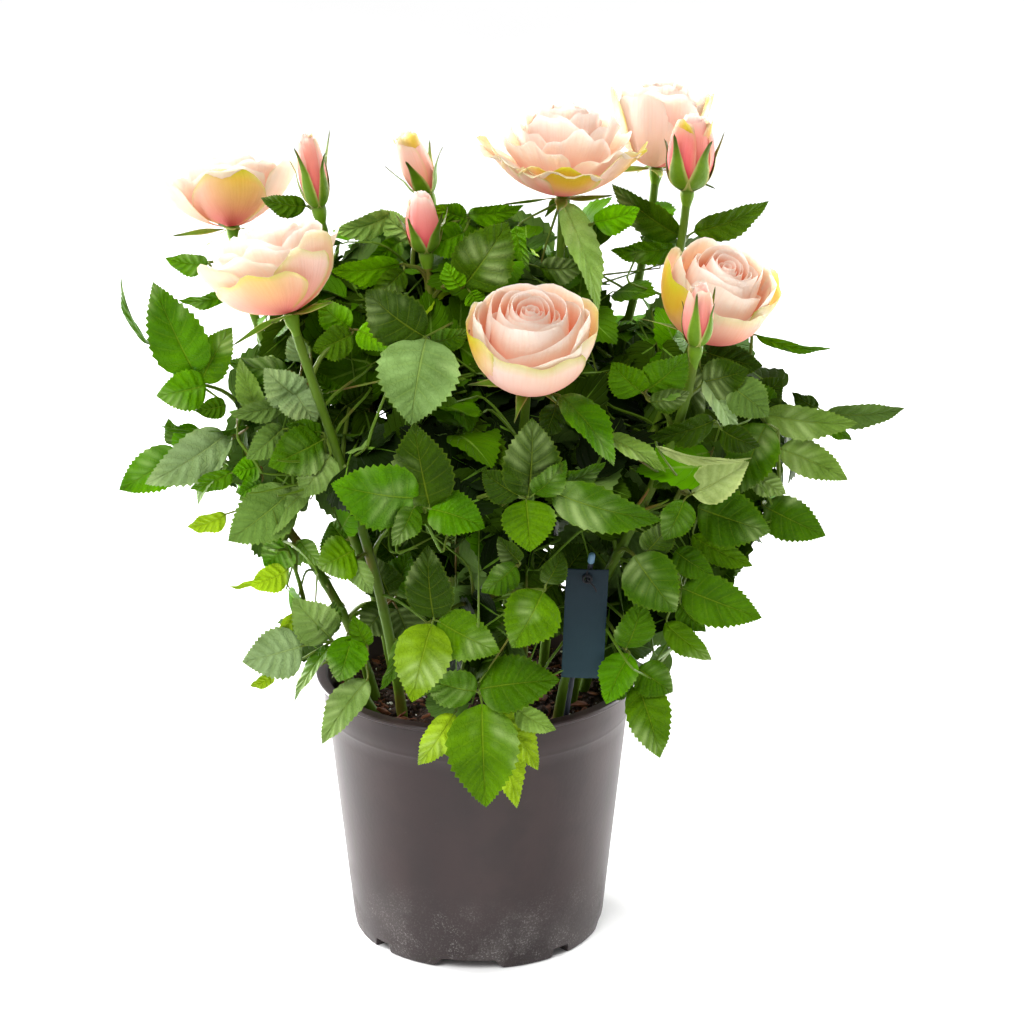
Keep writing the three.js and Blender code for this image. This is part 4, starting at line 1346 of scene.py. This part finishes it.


# outer: petals listed one by one outside the spiral: direction, rim, height, half angle, roll, lime on the
# edge, lime on the crest, pink at the foot, warmth, how far one side of the rim falls, and its arch.
# turn is the direction of a bud's first sepal, and clasp the share of the bud that its sepals hug.
BLOOM_LOOKS = {
    "front": dict(
        plan=CUP, spin=4.75, heart=1.5, blush=0.04, lime=0.2,
        outer=[
            (3.35, 1.0, 0.84, 46, 0.12, 0.9, 1.0, 0.1, 0.5, 0, 0),
            (0.0, 1.0, 0.84, 46, 0.12, 0.8, 0.8, 0.15, 0.6, 0, 0),
            (-0.7, 0.9, 0.96, 66, 0.03, 0.1, 0.0, 0.1, 1.0, -0.75, 0),
            (-2.45, 0.93, 0.95, 68, 0.04, 0.1, 0.0, 0.0, 0.1, 0.8, 0),
            (-1.52, 0.98, 0.74, 64, 0.08, 1.0, 0.1, 0.5, 0.5, 0, 0.02),
        ],
    ),
    "front_left": dict(
        plan=GOBLET, spin=3.9, heart=0.9, blush=0.12, lime=0.3,
        outer=[
            (-0.45, 0.97, 0.8, 50, 0.1, 0.7, 0.3, 0.6, 1.8, 0.5, 0.05),
            (-1.25, 0.95, 0.68, 46, 0.16, 0.9, 0.2, 0.6, 1.4, -0.5, 0.05),
            (-2.7, 1.04, 0.8, 50, 0.16, 0.5, 0.2, 0.2, 0.7, 0, 0.05),
            (-1.9, 0.98, 0.56, 54, 0.24, 1.0, 0.6, 0.7, 0.7, 0, 0.14),
        ],
    ),
    "back_left": dict(
        plan=dict(GOBLET, count=19, point=0.35), spin=4.6, heart=0.8, blush=0.3, lime=0.2,
        outer=[
            (3.3, 1.2, 0.84, 46, 0.3, 0.3, 0.1, 0.3, 0.5, 0, 0.05),
            (0.0, 1.12, 0.92, 44, 0.22, 0.3, 0.2, 0.3, 0.6, 0, 0.05),
            (-1.5, 1.0, 0.76, 54, 0.06, 1.0, 0.9, 1.0, 0.6, 0, 0.3),
        ],
    ),
    "top": dict(
        plan=ROSETTE, spin=4.7, heart=0.7, blush=0.12, lime=0.6,
        outer=[
            (3.35, 1.02, 0.72, 32, 0.2, 0.8, 0.3, 0.2, 0.6, 0, 0.1),
            (-0.4, 1.0, 0.66, 34, 0.26, 1.0, 1.0, 0.3, 0.8, 0, 0.15),
            (-2.4, 0.9, 0.46, 34, 0.22, 0.7, 0.2, 0.8, 0.6, 0, 0.1),
            (-1.72, 0.88, 0.47, 46, 0.24, 1.0, 1.8, 0.7, 0.6, 0, 0.1),
        ],
    ),
    "top_right": dict(
        plan=HALF_OPEN, spin=4.2, heart=0.6, blush=0.25, lime=0.2,
        outer=[
            (3.2, 0.92, 0.92, 40, 0.14, 1.0, 0.6, 0.3, 0.4, 0, 0.1),
            (0.05, 0.95, 0.92, 40, 0.16, 1.0, 0.8, 0.3, 0.5, 0, 0.1),
            (-1.6, 0.9, 0.94, 66, 0.05, 0.1, 0.0, 0.7, 0.5, 0, 0.05),
        ],
    ),
    "right": dict(
        plan=CUP, spin=4.2, heart=1.6, blush=0.08, lime=0.4,
        outer=[
            (3.5, 1.04, 0.88, 54, 0.1, 0.8, 1.6, 0.1, 1.0, 0, 0),
            (0.1, 1.0, 0.86, 54, 0.1, 0.8, 1.6, 0.1, 1.0, 0, 0),
            (-0.6, 0.9, 0.95, 62, 0.03, 0.2, 0.0, 0.2, 0.4, -0.75, 0),
            (-2.4, 0.93, 0.93, 62, 0.04, 0.2, 0.1, 0.6, 1.0, 0.7, 0),
            (-1.35, 0.97, 0.74, 58, 0.06, 0.7, 0.1, 1.2, 1.2, 0, 0.02),
        ],
    ),
}
BUD_LOOKS = {
    "left": dict(
        blush=0.8, lime=0.5, heart=1.6, spin=0.4, length=36, flare=0.3, clasp=0.85, turn=4.4,
        outer=[
            (-0.6, 0.3, 1.0, 70, 0.1, 0.6, 0.3, 0.9, 1.0, 0, 0.1),
        ],
    ),
    "back": dict(
        blush=0.35, lime=1.4, heart=0.6, spin=1.4, length=33, flare=0.45, clasp=0.55, turn=4.7,
        outer=[
            (-1.4, 0.5, 1.0, 80, 0.14, 0.8, 0.9, 0.4, 0.5, 0, 0.05),
            (2.6, 0.5, 0.98, 70, 0.1, 0.9, 0.5, 0.5, 0.5, 0, 0.05),
        ],
    ),
    "middle": dict(
        blush=1.25, lime=0.3, heart=0.5, spin=2.2, length=24, flare=0.5, clasp=0.6, turn=4.1,
        outer=[],
    ),
    "right_top": dict(
        blush=1.5, lime=0.8, heart=1.5, spin=0.9, length=34, flare=0.3, clasp=0.8, turn=3.95,
        outer=[
            (-0.2, 0.5, 0.95, 60, 0.1, 0.6, 1.3, 0.9, 1.0, 0, 0.2),
            (-2.2, 0.46, 0.97, 60, 0.08, 0.6, 1.0, 1.4, 1.0, 0, 0.2),
        ],
    ),
    "right_front": dict(
        blush=1.0, lime=0.6, heart=1.2, spin=2.9, length=30, flare=0.2, clasp=0.95, turn=4.3,
        outer=[],
    ),
}


BLOOM_SEPALS = dict(length=29, flare=1.62, width=6.0, spin=3.3)


def add_flowers():
    """The open roses and the buds, each one piece with its own seed."""
    petals, sepals = petal_finish(), sepal_finish()
    for number, (name, flower) in enumerate(BLOOMS.items()):
        rng = np.random.default_rng(100 + number)
        sheaf = Sheaf()
        lay_petals(sheaf, flower, rng=rng, **BLOOM_LOOKS[name])
        lay_sepals(sheaf, flower, rng, **BLOOM_SEPALS)
        made = sheaf.piece("rose_" + name, [petals, sepals])
        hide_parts("bloom_" + name)
    for number, (name, flower) in enumerate(BUDS.items()):
        rng = np.random.default_rng(200 + number)
        look = BUD_LOOKS[name]
        sheaf = Sheaf()
        petal_look = {key: look[key] for key in ("spin", "heart", "blush", "lime", "outer")}
        lay_petals(sheaf, flower, SHUT, rng, **petal_look, shut=True)
        sepal_look = {key: look[key] for key in ("length", "flare", "clasp")}
        width = 0.66 * flower["r"]
        lay_sepals(sheaf, flower, rng, width=width, spin=look["turn"], foot=SHUT["foot"], **sepal_look)
        made = sheaf.piece("rosebud_" + name, [petals, sepals])
        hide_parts("bud_" + name)


# ---- Modelling helpers for the pot, the soil and the label ----------------------------------
def adopt(name, node, slot, *materials):
    """Names the active object, puts its place in its mesh, and stands it in for a node."""
    made = bpy.context.object
    made.name = made.data.name = name
    bpy.ops.object.transform_apply(location=True, rotation=True, scale=True)
    for material in materials:
        made.data.materials.append(material)
    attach(made, "root")
    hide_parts(node)
    return made


def clear_selection():
    """Nothing stays selected."""
    bpy.ops.object.select_all(action="DESELECT")


def work_on(made):
    """Makes one object the only one that is selected, and the active one."""
    clear_selection()
    bpy.context.view_layer.objects.active = made
    made.select_set(True)


def apply_modifier(made, kind, **settings):
    """Adds a modifier and works it into the mesh."""
    modifier = made.modifiers.new(kind.lower(), kind)
    for key, value in settings.items():
        setattr(modifier, key, value)
    work_on(made)
    bpy.ops.object.modifier_apply(modifier=modifier.name)


def pot_profile():
    """Outer and inner line of the pot from the middle of its underside to the middle of its floor."""
    p = POT
    top, collar, inside = p["height"], p["collar"], p["collar"] - p["wall"]
    ledge = top - p["rim_height"]
    collar_foot = ledge - p["collar_height"]
    slope = (collar - p["step"] - p["base"]) / collar_foot

    def outer(z):
        return p["base"] + slope * z

    def inner(z):
        return outer(z) - p["wall"]

    return [
        (0.01, 0), (30, 0), (p["base"] - 2.2, 0), (p["base"] - 0.7, 0.45), (p["base"], 1.6), (outer(7), 7),
        *[(outer(z), z) for z in (20, 34, 48, 62, 76, 90, 104, 116)],
        (outer(collar_foot - 2.6), collar_foot - 2.6), (outer(collar_foot) + 0.5, collar_foot - 1.4),
        (outer(collar_foot) + 0.9, collar_foot - 0.2), (collar - 0.7, collar_foot + 1.2),
        (collar - 0.1, collar_foot + 2.4), (collar, collar_foot + 8),
        (collar + 0.1, ledge - 0.8), (collar + 0.9, ledge),
        (p["rim"] - 1.0, ledge), (p["rim"] - 0.1, top - 2.2),
        (p["rim"], top - 1.3), (p["rim"] - 0.5, top - 0.4), (p["rim"] - 1.4, top),
        (collar - 0.9, top), (inside, top - 0.9),
        (inside - 0.1, collar_foot + 2), (inner(collar_foot), collar_foot - 1),
        *[(inner(z), z) for z in (90, 50, 20)],
        (inner(p["floor"]) - 1, p["floor"]), (30, p["floor"]), (0.01, p["floor"]),
    ]


# Notches of the pot's foot, wide and narrow by turns: half width, how much wider below, inner radius.
NOTCHES = [(13.5, 6.0, 40), (5.0, 1.5, 36)] * 4
NOTCH_OUTER, NOTCH_DEPTH, NOTCH_TURN = 74, 5.6, -0.09


def cut_notch(pot, number, half, flare, inner):
    """One drainage notch, splayed towards the ground."""
    clear_selection()
    bpy.ops.mesh.primitive_cube_add(size=1)
    cutter = bpy.context.object
    for corner in cutter.data.vertices:
        x, y, z = (1 if c > 0 else -1 for c in corner.co)
        wide = half * MM + (flare * MM if z < 0 else 0)
        corner.co = (x * wide, -(NOTCH_OUTER if y < 0 else inner) * MM, (NOTCH_DEPTH if z > 0 else -1) * MM)
    cutter.data.transform(Matrix.Rotation((number + NOTCH_TURN) * math.pi / 4, 4, "Z"))
    apply_modifier(cutter, "BEVEL", width=0.7 * MM, segments=2)
    apply_modifier(pot, "BOOLEAN", operation="DIFFERENCE", object=cutter, solver="EXACT")
    bpy.data.objects.remove(cutter)


def plastic_finish():
    """Brown plastic, clouded and streaked, with lime film and specks near its foot."""
    plastic = Finish("pot_plastic", Specular_IOR_Level=0.3)
    z = plastic.parts(plastic.place())[2] * (1 / MM)
    tall = plastic.noise(14.0, 4.0, (1, 1, 0.18))
    cloud = plastic.noise(9.0, 5.0)
    grain = plastic.noise(420.0, 3.0)
    body = plastic.mix(tall.step(0.35, 0.7), tone(43, 30, 30), tone(56, 42, 41))
    body = plastic.mix(cloud.step(0.42, 0.7) * 0.35, body, tone(40, 28, 28))
    low = 1 - z.step(8.0, 52.0)
    gathered = 0.25 + 0.75 * plastic.noise(60.0, 3.0).step(0.45, 0.6)
    specks = plastic.noise(1000.0, 5.0, rough=0.75).step(0.52, 0.66) * low * gathered
    film = plastic.noise(30.0, 6.0, rough=0.65).step(0.44, 0.66) * low
    body = plastic.mix(low * 0.35, body, tone(38, 34, 34))
    body = plastic.mix(plastic.noise(42.0, 5.0).step(0.38, 0.66) * 0.42, body, tone(34, 26, 26))
    body = plastic.mix(film * 0.22, body, tone(118, 114, 112))
    body = plastic.mix(specks * 0.42, body, tone(170, 166, 162))
    scuff = plastic.noise(300.0, 6.0, rough=0.8).step(0.66, 0.74)
    body = plastic.mix(scuff * 0.35, body, tone(96, 88, 86))
    splash = plastic.noise(120.0, 5.0, rough=0.7).step(0.62, 0.7) * z.step(120.0, 140.0)
    body = plastic.mix(splash * 0.5, body, tone(52, 40, 32))
    plastic.set(Base_Color=body, Roughness=0.30 + 0.16 * cloud + 0.3 * film + 0.2 * specks)
    plastic.set(Normal=plastic.bump(grain * 0.35 + tall * 1.5, 0.0003, 0.5))
    return plastic.material


def add_pot():
    """The pot's wall is spun round its axis, then the drainage notches are cut into its foot."""
    clear_selection()
    bpy.ops.mesh.primitive_plane_add(size=0.01)
    pot = bpy.context.object
    bpy.ops.object.mode_set(mode="EDIT")
    mesh = bmesh.from_edit_mesh(pot.data)
    bmesh.ops.delete(mesh, geom=mesh.verts[:], context="VERTS")
    corners = [mesh.verts.new((r * MM, 0, z * MM)) for r, z in pot_profile()]
    for a, b in zip(corners, corners[1:]):
        mesh.edges.new((a, b))
    bmesh.update_edit_mesh(pot.data)
    bpy.ops.mesh.select_all(action="SELECT")
    bpy.ops.mesh.spin(steps=160, angle=2 * math.pi, center=(0, 0, 0), axis=(0, 0, 1))
    bpy.ops.mesh.select_all(action="SELECT")
    bpy.ops.mesh.remove_doubles(threshold=0.00003)
    bpy.ops.mesh.normals_make_consistent(inside=False)
    bpy.ops.object.mode_set(mode="OBJECT")
    for number, (half, flare, inner) in enumerate(NOTCHES):
        cut_notch(pot, number, half, flare, inner)
    work_on(pot)
    bpy.ops.object.shade_smooth_by_angle(angle=math.radians(32))
    adopt("pot_body", "pot", "pot", plastic_finish())


BED_RADIUS, BED_THICKNESS, BED_RINGS = 76.0, 4, 9
CRUMBS, CRUMB_REACH = 2600, 75.0
PEAT_CRUMB, BARK_CHIP, WHITE_GRAIN = range(3)
CRUMB_SHARES = [0.72, 0.17, 0.11]  # in that order


def peat_finish():
    """Dark crumbling peat."""
    peat = Finish("peat", Specular_IOR_Level=0.25)
    crumb = peat.cells(210.0)
    fine = peat.noise(420.0, 5.0, rough=0.7)
    peat.set(Base_Color=peat.mix(fine.step(0.35, 0.7), tone(26, 17, 12), tone(74, 50, 34)))
    peat.set(Roughness=0.8 + 0.2 * fine)
    peat.set(Normal=peat.bump(crumb * 0.7 + fine, 0.002, 0.9))
    return peat.material


def add_bed(peat, rng):
    """An uneven bed of peat that fills the pot to its soil line."""
    clear_selection()
    bpy.ops.mesh.primitive_cylinder_add(
        vertices=96, radius=BED_RADIUS * MM, depth=BED_THICKNESS * MM, location=(0, 0, (SOIL_TOP - 3) * MM)
    )
    bed = bpy.context.object
    bpy.ops.object.mode_set(mode="EDIT")
    mesh = bmesh.from_edit_mesh(bed.data)
    for face in mesh.faces:
        face.select_set(face.normal.z > 0.9)
    for _ in range(BED_RINGS):
        bpy.ops.mesh.inset(thickness=(BED_RADIUS / 10.2) * MM, depth=0)
    bpy.ops.mesh.select_all(action="SELECT")
    bpy.ops.mesh.quads_convert_to_tris()
    bpy.ops.object.mode_set(mode="OBJECT")
    bpy.ops.object.transform_apply(location=True)
    apply_modifier(bed, "SUBSURF", levels=1, render_levels=1, subdivision_type="SIMPLE")
    for corner in bed.data.vertices:
        if corner.co.z > (SOIL_TOP - 3) * MM:
            x, y = corner.co.x / MM, corner.co.y / MM
            lump = math.sin(x * 0.13 + 1) * math.cos(y * 0.11) * 1.6 + math.sin(x * 0.37 + y * 0.29) * 0.8
            corner.co.z += (lump + rng.normal(0, 0.35)) * MM
    work_on(bed)
    bpy.ops.object.shade_smooth()
    adopt("soil_bed", "soil", "soil", peat)


def add_crumbs(peat, rng):
    """Crumbs of peat, chips of bark and white grains that lie on the bed."""
    brown, pale = (tone(62, 34, 20), tone(134, 78, 46)), (tone(200, 196, 186), tone(238, 236, 230))
    bark, _ = grained("bark_chip", *brown, 300.0, 0.6, 0.3, detail=4.0, stretch=(1, 1, 0.3))
    grit, _ = grained("white_grain", *pale, 600.0, 0.7, 0.2)
    crumbs = Sheaf()
    icosphere = bmesh.new()
    bmesh.ops.create_icosphere(icosphere, subdivisions=1, radius=1.0)
    corners = np.array([v.co[:] for v in icosphere.verts])
    faces = [[v.index for v in face.verts] for face in icosphere.faces]
    icosphere.free()
    for _ in range(CRUMBS):
        away, turn = CRUMB_REACH * math.sqrt(rng.random()), rng.random() * 2 * np.pi
        kind = rng.choice(len(CRUMB_SHARES), p=CRUMB_SHARES)
        size = rng.uniform(0.45, 1.15) if kind == WHITE_GRAIN else rng.gamma(3.0, 0.42) + 0.5
        stretch = np.array([1, rng.uniform(0.5, 1), rng.uniform(0.4, 0.8)]) * size
        if kind == BARK_CHIP:
            stretch *= [1.9, 0.8, 0.6]
        about = basis(rng.normal(0, 1, 3) * [1, 1, 0.3], [0, 0, 1])
        rough = corners * (1 + rng.normal(0, 0.14, (len(corners), 1)))
        away = min(away, CRUMB_REACH - 0.5 - size)
        middle = [away * math.cos(turn), away * math.sin(turn), SOIL_TOP + rng.normal(0.3, 0.8)]
        crumbs.lay((rough * stretch) @ about.T + middle, faces, int(kind))
    made = crumbs.piece("soil_crumbs", [peat, bark.material, grit.material])
    made.data.polygons.foreach_set("use_smooth", [False] * len(made.data.polygons))


def add_soil():
    """The bed and what lies on it."""
    rng = np.random.default_rng(61)
    peat = peat_finish()
    add_bed(peat, rng)
    add_crumbs(peat, rng)


ROD_FOOT, ROD_TIP = np.array([43, -57.6, 122.0]), np.array([57.3, -86.2, 237])
ROD_STEPS, ROD_NOTCHED = 40, 0.45  # the rod is notched from its foot up to this share of its length
ROD_CAP = np.array([(-4.6, 1.45), (-4.3, 1.7), (-1.2, 1.75), (0.0, 1.6), (0.7, 1.1), (0.9, 0.4)])
CARD = dict(width=21, height=66, thick=0.8, hole=2.2, tilt=0.257, roll=0.03, centre=(54.2, -78.2, 197.3))
HOLE_HEIGHT = CARD["height"] / 2 - 5


def hang_card():
    """The card's own place: its width along X, its height along Z, leaning out at the top."""
    place = Matrix.Translation(Vector(CARD["centre"]) * MM)
    return place @ Matrix.Rotation(CARD["roll"], 4, "Y") @ Matrix.Rotation(CARD["tilt"], 4, "X")


def slate_finish():
    """Matt slate blue, darker towards its top and faintly worn."""
    slate = Finish("card_slate", Specular_IOR_Level=0.12)
    z = slate.parts(slate.place())[2] * (1 / MM)
    worn = slate.noise(55.0, 4.0)
    fade = z.step(165.0, 232.0)
    colour = slate.mix(fade, tone(26, 50, 58), tone(12, 28, 36))
    slate.set(Base_Color=slate.mix(worn * 0.12, colour, tone(70, 88, 98)), Roughness=0.45 + 0.2 * worn)
    slate.set(Normal=slate.bump(slate.noise(900.0, 2.0), 0.0002, 0.4))
    return slate.material


def add_card():
    """The label's blank card, gently bowed, with a punched hole."""
    clear_selection()
    bpy.ops.mesh.primitive_cube_add(size=1)
    card = bpy.context.object
    card.data.transform(Matrix.Diagonal((CARD["width"] * MM, CARD["thick"] * MM, CARD["height"] * MM, 1)))
    bpy.ops.object.mode_set(mode="EDIT")
    bpy.ops.mesh.select_all(action="SELECT")
    bpy.ops.mesh.subdivide(number_cuts=11)
    bpy.ops.object.mode_set(mode="OBJECT")
    clear_selection()
    bpy.ops.mesh.primitive_cylinder_add(
        vertices=24, radius=CARD["hole"] * MM, depth=6 * MM, rotation=(math.pi / 2, 0, 0),
        location=(0, 0, HOLE_HEIGHT * MM),
    )
    punch = bpy.context.object
    apply_modifier(card, "BOOLEAN", operation="DIFFERENCE", object=punch, solver="EXACT")
    bpy.data.objects.remove(punch)
    for corner in card.data.vertices:
        x, z = corner.co.x / MM, corner.co.z / MM
        corner.co.y += (0.0035 * x * x + 0.25 * math.sin(z * 0.06)) * MM
    apply_modifier(card, "BEVEL", width=0.12 * MM, segments=2, limit_method="ANGLE")
    card.data.transform(hang_card())
    work_on(card)
    bpy.ops.object.shade_smooth_by_angle(angle=math.radians(35))
    adopt("card", "label_card", "label_card", slate_finish())


def add_rod():
    """The slim rod with its notched foot and its cap."""
    black, streak = grained(
        "rod_black", tone(16, 18, 22), tone(38, 44, 54), 500.0, 0.3, 0.25, shine=0.15, stretch=(1, 1, 0.1)
    )
    black.set(Normal=black.bump(streak, 0.0002, 0.5))
    blue, _ = grained("rod_cap", tone(56, 92, 120), tone(96, 134, 158), 500.0, 0.35, 0.2, shine=0.5)
    rod = Sheaf()
    way = unit(ROD_TIP - ROD_FOOT)
    steps = np.linspace(0, 1, ROD_STEPS)
    path = ROD_FOOT + (ROD_TIP - ROD_FOOT) * steps[:, None]
    notched = 1.25 + 0.2 * ((np.arange(ROD_STEPS) % 2) * (steps < ROD_NOTCHED))
    tube(rod, path, notched, 10, 0)
    tube(rod, ROD_TIP + ROD_CAP[:, :1] * way, ROD_CAP[:, 1], 14, 1)
    made = rod.piece("rod", [black.material, blue.material])
    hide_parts("label_rod")


def add_knot():
    """The thread that ties the card's hole to the rod, with its two loose ends."""
    twine, thread = grained("twine_black", tone(12, 12, 14), tone(40, 42, 46), 900.0, 0.7, 0.2, detail=2.0)
    twine.set(Normal=twine.bump(thread, 0.0003, 0.8))
    knot = Sheaf()
    eye = np.array(hang_card() @ Vector((0, 0, HOLE_HEIGHT * MM))) / MM
    turns = np.linspace(0, 4.5 * np.pi, 60)
    coil = np.column_stack([2.0 * np.cos(turns), 0.5 * np.sin(turns * 1.5) - 0.3, 1.9 * np.sin(turns)])
    tube(knot, eye + [0, -1.0, 0] + coil, 0.62, 7, 0)
    upper_end = bezier(eye + [0, -1, 1], eye + [-1, -2, 5], eye + [3, 1, 8], eye + [2.4, 3.2, 4], 14)
    lower_end = bezier(eye + [0, -1, 0], eye + [2, -3, -2], eye + [4, -2, -4], eye + [4.5, -1.8, -6.5], 10)
    tube(knot, upper_end, 0.5, 7, 0)
    tube(knot, lower_end, 0.5, 7, 0)
    made = knot.piece("knot", [twine.material])


# ---- Stage -----------------------------------------------------------------------------------
SKY_STRENGTH = 0.46
# Area lamps: name, place and size in metres, power in watts. All look at the middle of the plant.
LAMPS = [
    ("key", (-0.9, -1.6, 1.6), 0.8, 12),
    ("rim_left", (-1.1, 0.8, 0.3), 1.2, 96),
    ("rim_right", (1.1, 0.8, 0.3), 1.2, 52),
]


def add_stage():
    """A plain pale floor under soft studio light."""
    clear_selection()
    bpy.ops.mesh.primitive_plane_add(size=40, location=(0, 0, 0))
    floor = bpy.context.object
    floor.name = "floor"
    paper = Finish("floor_paper", Specular_IOR_Level=0.1)
    paper.set(Base_Color=paper.mix(paper.noise(3.0), tone(250, 250, 250), tone(253, 253, 253)), Roughness=0.9)
    floor.data.materials.append(paper.material)
    world = bpy.data.worlds.new("studio")
    scene.world = world
    world.use_nodes = True
    sky = world.node_tree.nodes["Background"]
    sky.inputs["Color"].default_value = (1, 1, 1, 1)
    sky.inputs["Strength"].default_value = SKY_STRENGTH
    sun = bpy.data.objects.new("sun", bpy.data.lights.new("sun", "SUN"))
    scene.collection.objects.link(sun)
    sun.data.energy, sun.data.angle = 2.1, math.radians(32)
    sun.rotation_euler = (-Vector((-0.5, -0.9, 1.6))).to_track_quat("-Z", "Y").to_euler()
    for name, place, size, power in LAMPS:
        lamp = bpy.data.objects.new(name, bpy.data.lights.new(name, "AREA"))
        scene.collection.objects.link(lamp)
        lamp.data.size, lamp.data.energy = size, power
        lamp.location = place
        lamp.rotation_euler = (Vector((0, 0, 0.22)) - Vector(place)).to_track_quat("-Z", "Y").to_euler()
    scene.view_settings.view_transform = "Standard"


# ---- The whole -------------------------------------------------------------------------------
add_camera()
add_stage()
add_pot()
add_soil()
add_card()
add_rod()
add_knot()
add_flowers()

masses = mass_trees()
cane_paths, shoot_paths = limb_wood(masses)
canes, twigs, near_leaves = Sheaf(), Sheaf(), [Sheaf(), Sheaf()]
add_canes(cane_paths, shoot_paths, canes)
wood_points = np.concatenate([p[8:] for p in cane_paths] + [p[3:] for p in shoot_paths])
covered = place_sprays(near_leaves, wood_points, twigs)
growth = Growth(wood_points, twigs, Clearance(covered, masses))
growth.fill(masses)
grown = growth.pieces()

green_bark = stem_finish("bark_green", tone(72, 102, 14), tone(104, 62, 34), 0.62)
red_bark = stem_finish("bark_red", tone(84, 106, 30), tone(92, 58, 32), 0.6)
cane_piece = canes.piece("cane_wood", [green_bark, red_bark])
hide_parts(*[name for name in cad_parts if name.startswith(("cane_", "stem_"))])
twig_bark = stem_finish("bark_twig", tone(74, 106, 18), tone(84, 60, 30), 0.66)
twig_piece = twigs.piece("twigs", [twig_bark, red_bark])
fine_leaf = fine_leaf_finish()
near_pieces = [sheaf.piece("leaves_near_%d" % (k + 1), [fine_leaf]) for k, sheaf in enumerate(near_leaves)]
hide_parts(*[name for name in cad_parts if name.startswith("foliage_")])
